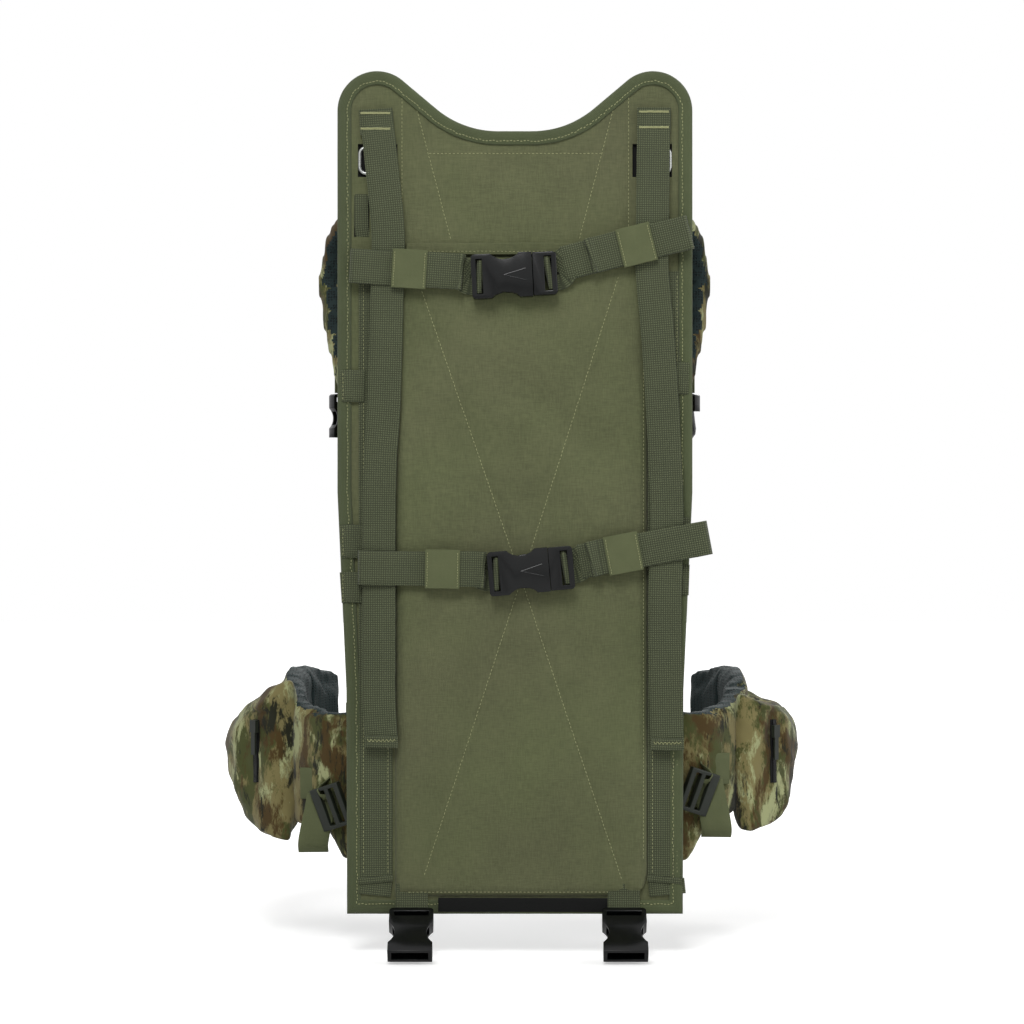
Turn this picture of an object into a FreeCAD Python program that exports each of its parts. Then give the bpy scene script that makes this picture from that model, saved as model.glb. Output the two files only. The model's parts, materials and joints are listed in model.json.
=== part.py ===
import FreeCAD, Part
import math
import os
from FreeCAD import Vector

# Load-hauling hunting pack: a flat woven-cloth board with cross straps and buckles on the load side (-Y),
# and a shoulder harness and a hip belt with pouches on the wearer's side (+Y).
# Millimetres. While it is built, X = 0 is the middle of the board, Y = 0 the middle of its plastic sheet and
# Z = 0 its bottom edge. save() then moves every piece so that the origin is the centre of the lumbar pad's face.

# ---- driving dimensions -------------------------------------------------------------------------------------
BOARD_TOP = 660.0            # tops of the two horns
BOARD_HALF = 139.0           # half width over the upper half
FOOT_HALF = 131.5            # half width at the bottom
HORN_X, HORN_R = 108.0, 31.0
DIP_Z, DIP_R = 613.0, 75.0   # the saddle between the horns
SLOPE = math.radians(40.0)   # inner slope of each horn
SHEET_T = 3.0                # plastic frame sheet
FACE_Y = -4.3                # front of the face cloth
BACK_Y = 5.0                 # wearer's side of the board
PANEL_Y = -9.0               # front of the padded panel
WEB_W, WEB_T = 26.4, 1.5     # one inch webbing
GAP = 0.4                    # room between pieces that move past each other
LUMBAR_FACE = Vector(0.0, 35.0, 117.5)

# Front to back places of the strap layers in front of the panel.
LOOP_BACK_Y = -9.5           # wearer's side of a cross strap's rear layer
HANG_Y = -11.4               # wearer's side of a hanging strap
LOOP_FRONT_Y = -13.3         # wearer's side of a cross strap's front layer
BUCKLE_Y = -15.8             # middle of a cross strap buckle

os.makedirs("parts", exist_ok=True)


def save(name, shape):
    placed = shape.copy()
    placed.translate(LUMBAR_FACE.negative())
    if not placed.isValid():
        raise ValueError(name + " is not a valid solid")
    placed.exportStep("parts/" + name + ".step")


def both_sides(name, make):
    """Save one piece for each side; make(side) builds it for side -1 (left) or +1 (right)."""
    for side, word in ((-1, "left"), (1, "right")):
        save(name + "_" + word, make(side))


def block(x_span, y_span, z_span):
    low = Vector(min(x_span), min(y_span), min(z_span))
    return Part.makeBox(abs(x_span[1] - x_span[0]), abs(y_span[1] - y_span[0]), abs(z_span[1] - z_span[0]), low)


def prism(points, direction):
    """Straight-sided solid on a closed polygon."""
    return Part.Face(Part.makePolygon(points + points[:1])).extrude(direction)


def prism_xz(outline, y_span):
    points = [Vector(x, y_span[0], z) for x, z in outline]
    return prism(points, Vector(0, y_span[1] - y_span[0], 0))


def prism_yz(outline, x_span):
    points = [Vector(x_span[0], y, z) for y, z in outline]
    return prism(points, Vector(x_span[1] - x_span[0], 0, 0))


def prism_xy(outline, z_span):
    points = [Vector(x, y, z_span[0]) for x, y in outline]
    return prism(points, Vector(0, 0, z_span[1] - z_span[0]))


def offset_band(path, thickness):
    """Closed outline of a band of even thickness along an open 2-D path, mitred at its corners."""
    sides = ([], [])
    for i, (a, b) in enumerate(path):
        before = path[max(i - 1, 0)]
        after = path[min(i + 1, len(path) - 1)]
        turns = []
        for start, end in ((before, (a, b)), ((a, b), after)):
            run = math.hypot(end[0] - start[0], end[1] - start[1])
            if run > 0:
                turns.append((-(end[1] - start[1]) / run, (end[0] - start[0]) / run))
        na = sum(t[0] for t in turns) / len(turns)
        nb = sum(t[1] for t in turns) / len(turns)
        mitre = thickness / 2 / (na * na + nb * nb)
        sides[0].append((a + na * mitre, b + nb * mitre))
        sides[1].append((a - na * mitre, b - nb * mitre))
    return sides[0] + sides[1][::-1]


def ribbon(stations, width, thickness):
    """Flat webbing that runs up and down: each station is (x, y of its wearer's side, z)."""
    wires = []
    for x, y, z in stations:
        corners = [Vector(x - width / 2, y, z), Vector(x + width / 2, y, z),
                   Vector(x + width / 2, y - thickness, z), Vector(x - width / 2, y - thickness, z)]
        wires.append(Part.makePolygon(corners + corners[:1]))
    return Part.makeLoft(wires, True, True)


def tilted(shape, centre, angle):
    """Turn a piece that was built level about its middle, in the plane of the board."""
    turned = shape.copy()
    turned.rotate(centre, Vector(0, -1, 0), angle)
    return turned


# ---- board: frame sheet, face and back cloth, binding, stays --------------------------------------------------
def board_face(inset, y):
    """Outline of the board, drawn in by inset, as a flat face at y."""
    horn_r = HORN_R - inset
    dip_r = DIP_R + inset
    dip_z = DIP_Z - inset
    horn_z = BOARD_TOP - HORN_R
    side = BOARD_HALF - inset
    foot = FOOT_HALF - inset
    horn_inner = Vector(HORN_X - horn_r * math.sin(SLOPE), y, horn_z + horn_r * math.cos(SLOPE))
    dip_rise = dip_r * (1 - math.cos(SLOPE))
    dip_start = horn_inner.x - (horn_inner.z - dip_z - dip_rise) / math.tan(SLOPE)
    flat_end = dip_start - dip_r * math.sin(SLOPE)
    half = SLOPE / 2
    dip_mid = Vector(flat_end + dip_r * math.sin(half), y, dip_z + dip_r * (1 - math.cos(half)))

    def mirrored(v):
        return Vector(-v.x, v.y, v.z)

    top_arc_mid = Vector(HORN_X + horn_r * math.sin(math.radians(20)), y,
                         horn_z + horn_r * math.cos(math.radians(20)))
    right = [Vector(foot, y, inset), Vector(foot + 0.5, y, 175), Vector(side, y, 330), Vector(side, y, horn_z)]
    dip_from = Vector(dip_start, y, dip_z + dip_rise)
    flat = Vector(flat_end, y, dip_z)
    edges = []
    for a, b in zip(right, right[1:]):
        edges.append(Part.makeLine(a, b))
        edges.append(Part.makeLine(mirrored(a), mirrored(b)))
    edges.append(Part.makeLine(right[0], mirrored(right[0])))
    edges.append(Part.makeLine(flat, mirrored(flat)))
    for turn in (lambda v: v, mirrored):
        edges.append(Part.Arc(turn(right[3]), turn(top_arc_mid), turn(horn_inner)).toShape())
        edges.append(Part.makeLine(turn(horn_inner), turn(dip_from)))
        edges.append(Part.Arc(turn(dip_from), turn(dip_mid), turn(flat)).toShape())
    return Part.Face(Part.Wire(Part.__sortEdges__(edges)))


def board_slab(inset, y_span):
    return board_face(inset, y_span[0]).extrude(Vector(0, y_span[1] - y_span[0], 0))


BIND_W, BIND_T = 11.0, 1.2
LIFTER_SLOT_Z = (577.0, 603.0)
LIFTER_SLOT_X = (92.0, 123.0)
LASH_SLOT_X, LASH_SLOT_Z = (114.0, 126.0), (530.0, 562.0)


def slots(y_span):
    cuts = []
    for side in (-1, 1):
        lifter_x = [side * x for x in LIFTER_SLOT_X]
        cuts.append(block(lifter_x, y_span, LIFTER_SLOT_Z))
    cuts.append(block([-x for x in LASH_SLOT_X], y_span, LASH_SLOT_Z))
    return cuts


sheet_y = (-SHEET_T / 2, SHEET_T / 2)
save("frame_sheet", board_slab(6.0, sheet_y))
face_panel = board_slab(BIND_T, (FACE_Y, sheet_y[0]))
for slot in slots((FACE_Y - 1, sheet_y[0] + 1)):
    face_panel = face_panel.cut(slot)
save("face_panel", face_panel)
save("back_cover", board_slab(BIND_T, (sheet_y[1], BACK_Y)))
binding = board_slab(0.0, (FACE_Y - BIND_T, BACK_Y + BIND_T))
binding = binding.cut(board_slab(BIND_T, (FACE_Y, BACK_Y)))
binding = binding.cut(board_slab(BIND_W, (FACE_Y - 5, BACK_Y + 5)))
save("edge_binding", binding)


def stay(side):
    """Aluminium bar in its sleeve on the wearer's side of the board."""
    return block([side * 96, side * 117], (BACK_Y, BACK_Y + 2.5), (185, 560))


save("stays", Part.makeCompound([stay(-1), stay(1)]))

# ---- padded front panel and what is sewn beside it -----------------------------------------------------------
PANEL_X = (-94.0, 104.0)
PANEL_Z = (13.6, 515.0)
panel = block(PANEL_X, (PANEL_Y, FACE_Y), PANEL_Z)
corner = [e for e in panel.Edges if e.Length < 6 and e.CenterOfMass.x > 100 and e.CenterOfMass.z < 20]
panel = panel.makeFillet(20.0, corner)
save("front_panel", panel)
save("panel_hem", block((-85, 97), (FACE_Y - 3.7, FACE_Y), (516, 525)))
save("bottom_strip", block((-60, 85), (FACE_Y - BIND_T, FACE_Y), (2, 13)).cut(binding))

CHANNEL_X = {-1: -109.0, 1: 117.2}
CHANNEL_Z = (27.0, 500.0)


def channel_web(side):
    x = CHANNEL_X[side]
    long_web = block((x - WEB_W / 2, x + WEB_W / 2), (FACE_Y - BIND_T, FACE_Y), CHANNEL_Z)
    return long_web.cut(panel).cut(binding)


save("channel_webs", Part.makeCompound([channel_web(-1), channel_web(1)]))

HANG_PATH = {
    -1: [(-109, 629.5), (-104, 585), (-99, 531), (-100, 475), (-102, 402), (-105, 355), (-106, 301),
         (-106, 215), (-106, 168), (-104, 131)],
    1: [(108.7, 630.6), (108, 590), (107.3, 540), (107, 503), (111, 457), (114.7, 402), (117, 355), (118.6, 308),
        (117, 240), (118, 168), (119, 129)],
}
HANG_W = 25.8
HANG_SEWN_Z = 608.0          # sewn to the face above this height
HANG_FREE_Z = 572.0          # hangs free of the board below this height


def hang_strap(side):
    stations = []
    for x, z in HANG_PATH[side]:
        share = min(1.0, max(0.0, (HANG_SEWN_Z - z) / (HANG_SEWN_Z - HANG_FREE_Z)))
        stations.append((x, FACE_Y - BIND_T + (HANG_Y - FACE_Y + BIND_T) * share, z))
    sewn_x = stations[0][0] + (stations[1][0] - stations[0][0]) * 0.5
    stations.insert(1, (sewn_x, FACE_Y - BIND_T, HANG_SEWN_Z))
    return ribbon(stations, HANG_W, WEB_T)


both_sides("hang_strap", hang_strap)

LOOP_SPANS = {-1: [(400, 426), (278, 305), (243, 268)], 1: [(406, 432), (284, 311), (249, 274)]}


def side_loops():
    """Short webs caught in the binding, for lashing the load."""
    loops = []
    for side, spans in LOOP_SPANS.items():
        for low, high in spans:
            loops.append(block([side * 118, side * 136], (FACE_Y - BIND_T - 1.5, FACE_Y - BIND_T), (low, high)))
    return Part.makeCompound(loops)


save("side_loops", side_loops())

HOOK_WIRE = 3.0


def lifter_hook(side):
    """Bent wire eye that stands out of the load lifter slot."""
    x_out, x_in = side * 121.5, side * 110.0
    y = FACE_Y + 0.9
    low, high = 580.0, 600.0
    bend = 5.0
    along = 1 if x_in > x_out else -1
    corners = [Vector(x_in, y, low), Vector(x_out + along * bend, y, low), Vector(x_out, y, low + bend),
               Vector(x_out, y, high - bend), Vector(x_out + along * bend, y, high), Vector(x_in, y, high)]
    slant = bend * (1 - math.cos(math.pi / 4))
    low_mid = Vector(x_out + along * slant, y, low + slant)
    high_mid = Vector(x_out + along * slant, y, high - slant)
    path = Part.Wire([Part.makeLine(corners[0], corners[1]),
                      Part.Arc(corners[1], low_mid, corners[2]).toShape(),
                      Part.makeLine(corners[2], corners[3]),
                      Part.Arc(corners[3], high_mid, corners[4]).toShape(),
                      Part.makeLine(corners[4], corners[5])])
    ring = Part.Wire([Part.makeCircle(HOOK_WIRE / 2, corners[0], Vector(along, 0, 0))])
    return path.makePipeShell([ring], True, False)


save("lifter_hooks", Part.makeCompound([lifter_hook(-1), lifter_hook(1)]))

# ---- pads on the wearer's side -------------------------------------------------------------------------------
PAD_COLUMN_X = (14.0, 94.0)
pads = [block([side * x for x in PAD_COLUMN_X], (BACK_Y, 20), (190, 470)) for side in (-1, 1)]
save("back_pad", Part.makeCompound(pads))
save("lumbar_pad", block((-84, 84), (BACK_Y, LUMBAR_FACE.y), (60, 175)))
save("yoke_panel", block((-96, 96), (BACK_Y, 13), (486, 560)))


# ---- side-release buckles, drawn lying along X with the clip at +X -------------------------------------------
# u runs along the buckle, v across it in the plane of the board, w through its thickness (front is -Y).
SOCKET_U = (-33.3, 14.0)
CLIP_U = (14.4, 33.2)
BUCKLE_HALF_V = 17.2
BUCKLE_HALF_W = 6.0
CAVITY_V, CAVITY_W = 14.2, 3.7


def buckle_socket():
    """Female half: a flat moulded box with a mouth at +X, open waist windows and a webbing bar at -X."""
    u0, u1 = SOCKET_U
    body = block((u0, u1), (-BUCKLE_HALF_W, BUCKLE_HALF_W), (-BUCKLE_HALF_V, BUCKLE_HALF_V))
    upright = [e for e in body.Edges if abs(e.Length - 2 * BUCKLE_HALF_W) < 0.1 and e.CenterOfMass.x < 0]
    body = body.makeFillet(3.0, upright)
    body = body.cut(block((-20, u1 + 1), (-CAVITY_W, CAVITY_W), (-CAVITY_V, CAVITY_V)))
    body = body.cut(block((u0 + 3.6, u0 + 8.6), (-BUCKLE_HALF_W - 1, BUCKLE_HALF_W + 1), (-13.6, 13.6)))
    for side in (-1, 1):
        window = Part.makeCylinder(15.0, 4 * BUCKLE_HALF_W, Vector(-7, -2 * BUCKLE_HALF_W, side * 27.4),
                                   Vector(0, 1, 0))
        body = body.cut(window)
    return body


def clip_base():
    """Male half without its arms: the webbing bar frame and the guide tongue."""
    u0, u1 = CLIP_U
    body = block((u0, u1), (-BUCKLE_HALF_W, BUCKLE_HALF_W), (-16.8, 16.8))
    upright = [e for e in body.Edges if abs(e.Length - 2 * BUCKLE_HALF_W) < 0.1 and e.CenterOfMass.x > u1 - 1]
    body = body.makeFillet(3.0, upright)
    body = body.cut(block((u0 + 9.0, u0 + 14.6), (-BUCKLE_HALF_W - 1, BUCKLE_HALF_W + 1), (-13.6, 13.6)))
    tongue = block((-14, u0), (-2.6, 2.6), (-2.6, 2.6))
    return body.fuse(tongue).removeSplitter()


def latch_arm(side):
    """One springy arm with its barb, seen in the waist window."""
    outline = [(14.0, 7.0), (14.0, 11.0), (4.0, 12.2), (-4.0, 13.4), (-10.5, 12.6), (-15.0, 9.0), (-15.0, 7.0)]
    return prism_xz([(u, side * v) for u, v in outline], (-3.1, 3.1))


def whole_clip():
    """Male half moulded in one with its arms, for the loose chest and waist buckles."""
    body = clip_base()
    for side in (-1, 1):
        root = block((13.9, CLIP_U[0] + 0.1), (-3.1, 3.1), [side * 7.0, side * 11.0])
        body = body.fuse(latch_arm(side)).fuse(root)
    return body.removeSplitter()


# ---- cross straps --------------------------------------------------------------------------------------------
KEEPER_HALF = 13.6


def flat_loop(x_inner, x_end, height):
    """Webbing loop that lies flat: a front and a rear layer joined by a fold at x_end, drawn level at z = 0."""
    y_front = LOOP_FRONT_Y - WEB_T
    y_rear = LOOP_BACK_Y
    grow = 1 if x_end > x_inner else -1
    outer = block((x_inner, x_end), (y_front, y_rear), (-height / 2, height / 2))
    bend = [e for e in outer.Edges if abs(e.Length - height) < 0.1 and abs(e.CenterOfMass.x - x_end) < 0.1]
    outer = outer.makeFillet(2.4, bend)
    hollow = block((x_inner + grow * 8.0, x_end - grow * WEB_T), (LOOP_FRONT_Y, LOOP_BACK_Y - 1.1),
                   (-height, height))
    return outer.cut(hollow)


def cross_strap(level, centre, angle, left, right):
    """One cross strap: a sewn left arm with the socket, and a right arm that leaves with the clip."""
    place = Vector(0, BUCKLE_Y, 0)
    pivot = Vector(centre[0], BUCKLE_Y, centre[1])

    def set_down(shape, turn):
        moved = shape.copy()
        moved.translate(Vector(centre[0], 0, centre[1]))
        return tilted(moved, pivot, turn)

    def with_buckle_depth(shape):
        moved = shape.copy()
        moved.translate(place)
        return moved

    save(level + "_buckle_socket", set_down(with_buckle_depth(buckle_socket()), angle))
    save(level + "_buckle_clip", set_down(with_buckle_depth(clip_base()), angle))
    for side, word in ((1, "top"), (-1, "bottom")):
        save(level + "_latch_" + word, set_down(with_buckle_depth(latch_arm(side)), angle))

    for word, arm, grow, turn in (("left", left, -1, left["angle"]), ("right", right, 1, right["angle"])):
        start = arm["start"]
        loop = flat_loop(arm["inner"], arm["end"], arm["height"])
        layer = (LOOP_FRONT_Y - WEB_T, LOOP_FRONT_Y)
        front = block((start, arm["inner"]), layer, (-arm["height"] / 2, arm["height"] / 2))
        strap = loop.fuse(front).removeSplitter()
        save(level + "_strap_" + word, set_down(strap, turn))
        keeper_x = arm["keeper"]
        keeper = block((keeper_x - KEEPER_HALF, keeper_x + KEEPER_HALF),
                       (LOOP_FRONT_Y - WEB_T - 2.2, LOOP_FRONT_Y - WEB_T), (-14.8, 14.8))
        save(level + "_keeper_" + word, set_down(keeper, turn))


cross_strap("upper", (-0.5, 499.0), 3.0,
            {"angle": -3.5, "start": -36.6, "inner": -58.0, "end": -128.0, "keeper": -82.0, "height": 27.0},
            {"angle": 14.0, "start": 37.4, "inner": 55.0, "end": 141.0, "keeper": 98.0, "height": 25.0})
cross_strap("mid", (12.5, 269.0), 5.0,
            {"angle": -1.0, "start": -37.0, "inner": -50.0, "end": -134.5, "keeper": -69.0, "height": 27.0},
            {"angle": 10.6, "start": 36.4, "inner": 52.0, "end": 141.0, "keeper": 73.0, "height": 27.0})

# ---- bottom buckles: two loose sockets on short webs at the foot of the board --------------------------------
FOOT_BUCKLE_X = {-1: -80.6, 1: 85.0}
FOOT_PIVOT_Y, FOOT_PIVOT_Z = -10.4, 1.5
FOOT_TILT = 55.0             # from hanging straight down, towards the load side


def bottom_loop(side):
    x = FOOT_BUCKLE_X[side]
    return block((x - 12.6, x + 12.6), (FACE_Y - BIND_T - 1.6, FACE_Y - BIND_T), (3.5, 13.4))


save("bottom_loops", Part.makeCompound([bottom_loop(-1), bottom_loop(1)]))


def bottom_buckle(side):
    """Socket with its bar end at the board and its mouth down and out."""
    body = buckle_socket()
    body.translate(Vector(-SOCKET_U[0], 0, 0))
    body.rotate(Vector(), Vector(0, 1, 0), 90)
    body.rotate(Vector(), Vector(1, 0, 0), -FOOT_TILT)
    body.translate(Vector(FOOT_BUCKLE_X[side], FOOT_PIVOT_Y, FOOT_PIVOT_Z))
    return body


both_sides("bottom_buckle", bottom_buckle)

# ---- shoulder straps -----------------------------------------------------------------------------------------
SPLAY = math.radians(32.0)
PAD_START = (58.0, 37.0)     # |x| and y of the sewn end
PAD_W, PAD_T = 60.0, 12.0
PAD_PATH = [(0, 508), (14, 532), (40, 553), (75, 564), (110, 561), (137, 542), (149, 510), (142, 470), (120, 420),
            (92, 362), (66, 308)]


def in_pad_plane(side, s, z, across=0.0):
    """A point s out along the splayed strap plane, and across it away from the wearer's spine."""
    x = PAD_START[0] + s * math.sin(SPLAY) + across * math.cos(SPLAY)
    y = PAD_START[1] + s * math.cos(SPLAY) - across * math.sin(SPLAY)
    return Vector(side * x, y, z)


def pad_band(side, path, width, thickness, shift=0.0):
    outline = offset_band(path, thickness)
    points = [in_pad_plane(side, s, z, shift - width / 2) for s, z in outline]
    across = in_pad_plane(side, 0, 0, width) - in_pad_plane(side, 0, 0, 0)
    return prism(points, across)


both_sides("shoulder_pad", lambda side: pad_band(side, PAD_PATH, PAD_W, PAD_T))
LOWER_LOCK = [(65.0, 304.5), (50.5, 277.0)]


def shoulder_lock(side):
    frame = pad_band(side, LOWER_LOCK, 32.0, 6.0)
    slot_a = pad_band(side, [(61.0, 297.0), (58.5, 292.2)], 26.0, 8.0)
    slot_b = pad_band(side, [(56.5, 288.5), (54.0, 283.8)], 26.0, 8.0)
    return frame.cut(slot_a).cut(slot_b)


both_sides("shoulder_lock", shoulder_lock)
LOWER_ANCHOR = (112.0, 18.0, 192.0)


def lower_web(side):
    """Adjusting web from the lock down to the side of the board."""
    top = in_pad_plane(side, 50.0, 275.6)
    across = (in_pad_plane(side, 0, 0, 12.5) - in_pad_plane(side, 0, 0, 0))
    depth = Vector(0, WEB_T, 0)
    section = [top - across, top + across, top + across + depth, top - across + depth]
    return prism(section, Vector(side * LOWER_ANCHOR[0], LOWER_ANCHOR[1], LOWER_ANCHOR[2]) - top)


both_sides("lower_web", lower_web)


def lifter_web(side):
    """Load lifter stub from the horn towards the top of the shoulder strap."""
    outline = offset_band([(BACK_Y + 1.6, 594.0), (38.0, 587.0)], WEB_T)
    return prism_yz(outline, [side * 96, side * 121])


save("lifter_webs", Part.makeCompound([lifter_web(-1), lifter_web(1)]))

# ---- chest strap halves, hanging unfastened ------------------------------------------------------------------
CHEST_S, CHEST_Z = 163.0, 486.0
CHEST_LEN = 70.0
CHEST_SIZE = 0.78


def chest_web(side):
    return pad_band(side, [(CHEST_S, CHEST_Z), (CHEST_S, CHEST_Z - CHEST_LEN)], 20.0, WEB_T)


def hang_down(body, side, drop):
    """Turn a buckle half drawn along X so that it hangs mouth down in the strap plane."""
    placed = body.copy()
    placed.rotate(Vector(), Vector(0, 1, 0), 90)
    placed.rotate(Vector(), Vector(0, 0, 1), side * -math.degrees(SPLAY))
    placed.translate(in_pad_plane(side, CHEST_S, CHEST_Z - CHEST_LEN - drop))
    return placed


both_sides("chest_web", chest_web)


def shrunk(body, size):
    small = body.copy()
    small.scale(size, Vector())
    return small


chest_socket = shrunk(buckle_socket(), CHEST_SIZE)
chest_socket.translate(Vector(-SOCKET_U[0] * CHEST_SIZE, 0, 0))
save("chest_socket", hang_down(chest_socket, -1, 1.0))
chest_clip = shrunk(whole_clip(), CHEST_SIZE)
chest_clip.rotate(Vector(), Vector(0, 1, 0), 180)
chest_clip.translate(Vector(CLIP_U[1] * CHEST_SIZE, 0, 0))
save("chest_clip", hang_down(chest_clip, 1, 1.0))

# ---- hip belt ------------------------------------------------------------------------------------------------
WING_T = 14.0
WING_PATH = [(94, 29), (128, 33), (152, 43), (170, 62), (181, 92), (186, 130), (183, 170), (172, 205), (154, 236)]
WING_TOP = [(0, 157), (45, 157), (70, 165), (110, 180), (150, 187), (190, 186), (250, 172), (250, 0), (0, 0)]
WING_FOOT = {
    -1: [(60, 33), (134, 36), (150, 60), (200, 62), (200, 300), (60, 300)],
    1: [(60, 33), (137, 34), (152, 66), (200, 70), (200, 300), (60, 300)],
}
POUCH_PLAN = [(180, 52), (204, 60), (226, 86), (236, 120), (236, 152), (224, 186), (196, 210), (150, 222),
              (150, 150), (160, 70)]
POUCH_FRONT = {
    -1: [(150, 187), (181, 181), (194, 173), (206, 161), (218, 146), (232, 134), (236, 124), (232, 103), (220, 76),
         (213, 62), (203, 49), (192, 46), (150, 46)],
    1: [(150, 177), (178, 172), (190, 165), (207, 157), (219, 153), (226, 146), (229.5, 134), (229, 122), (225, 108),
        (222, 84), (218, 68), (209, 58), (197, 55), (150, 55)],
}


def mirror_x(outline, side):
    return [(side * x, other) for x, other in outline]


def belt_wing(side):
    band = prism_xy(mirror_x(offset_band(WING_PATH, WING_T), side), (0, 220))
    wing = band.common(prism_yz(WING_TOP, (-260, 260)))
    return wing.common(prism_xz(mirror_x(WING_FOOT[side], side), (-10, 300)))


def pouch(side):
    """Zipped pouch on the outside of the wing: its plan and its front outline, less the wing's own space."""
    band = offset_band(WING_PATH, WING_T)
    count = len(WING_PATH)
    outer_face = max((band[:count], band[count:][::-1]), key=lambda face: max(x for x, y in face))
    outside = prism_xy(mirror_x(outer_face + [(154, 300), (300, 300), (300, -20), (94, -20)], side), (0, 220))
    body = prism_xy(mirror_x(POUCH_PLAN, side), (0, 220))
    body = body.common(prism_xz(mirror_x(POUCH_FRONT[side], side), (-10, 300)))
    return body.common(outside)


both_sides("belt_wing", belt_wing)
both_sides("pouch", pouch)

ZIP_FROM = {-1: 142.0, 1: 138.0}
ZIP_MIDDLE = (210.0, 67.1)   # |x| and y of the zip on the pouch's outer rear face


def zip_slider(side):
    """Slider and its pull on the pouch's upright zip, turned flat to the pouch face."""
    slider = block((-4, 4), (-3.4, -GAP), (-6, 4))
    pull = block((-2.6, 2.6), (-3.0, -1.6), (-24, -6))
    body = slider.fuse(pull).removeSplitter()
    body.rotate(Vector(), Vector(0, 0, 1), side * math.degrees(math.atan2(26, 22)))
    body.translate(Vector(side * ZIP_MIDDLE[0], ZIP_MIDDLE[1], ZIP_FROM[side]))
    return body


both_sides("zip_slider", zip_slider)

STABILISER_Z = {-1: 88.0, 1: 100.0}


def on_wing(side, along, out, z):
    """A point on the wing's load side near the board: along its path from x = 128, and out from its face."""
    (x0, y0), (x1, y1) = WING_PATH[1], WING_PATH[2]
    run = math.hypot(x1 - x0, y1 - y0)
    dx, dy = (x1 - x0) / run, (y1 - y0) / run
    reach = WING_T / 2 + out
    return Vector(side * (x0 + dx * along + dy * reach), y0 + dy * along - dx * reach, z)


def on_wing_block(side, along, out, height):
    """Box that lies flat on the wing's load side."""
    corners = [on_wing(side, along[0], out[0], height[0]), on_wing(side, along[1], out[0], height[0]),
               on_wing(side, along[1], out[1], height[0]), on_wing(side, along[0], out[1], height[0])]
    return prism(corners, Vector(0, 0, height[1] - height[0]))


def stabiliser_lock(side):
    z = STABILISER_Z[side]
    frame = on_wing_block(side, (4, 27), (1.0, 6.5), (z - 15.5, z + 15.5))
    frame = frame.cut(on_wing_block(side, (8, 12.5), (0, 8), (z - 12.8, z + 12.8)))
    return frame.cut(on_wing_block(side, (16, 20.5), (0, 8), (z - 12.8, z + 12.8)))


def stabiliser_web(side):
    z = STABILISER_Z[side] + 2
    return on_wing_block(side, (27.2, 50), (1.0, 1.0 + WEB_T), (z - 12.5, z + 12.5))


both_sides("stabiliser_lock", stabiliser_lock)
both_sides("stabiliser_web", stabiliser_web)

WAIST_START = (148.0, 241.0, 128.0)
WAIST_LEN = 34.0
WAIST_TURN = 60.0            # from straight ahead towards the middle


def waist_piece(side, body, along):
    """Set a piece drawn along X at the wing's tip, leading forwards and inwards."""
    placed = body.copy()
    placed.translate(Vector(along, 0, 0))
    placed.rotate(Vector(), Vector(0, 0, 1), 90 + side * WAIST_TURN)
    placed.translate(Vector(side * WAIST_START[0], WAIST_START[1], WAIST_START[2]))
    return placed


both_sides("waist_web", lambda side: waist_piece(side, block((0, WAIST_LEN), (-0.8, 0.8), (-19, 19)), 0))
waist_socket = shrunk(buckle_socket(), 1.4)
save("waist_socket", waist_piece(-1, waist_socket, WAIST_LEN + 0.2 - SOCKET_U[0] * 1.4))
waist_clip = shrunk(whole_clip(), 1.4)
waist_clip.rotate(Vector(), Vector(0, 0, 1), 180)
save("waist_clip", waist_piece(1, waist_clip, WAIST_LEN + 0.2 + CLIP_U[1] * 1.4))
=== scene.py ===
import math
import random

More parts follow.
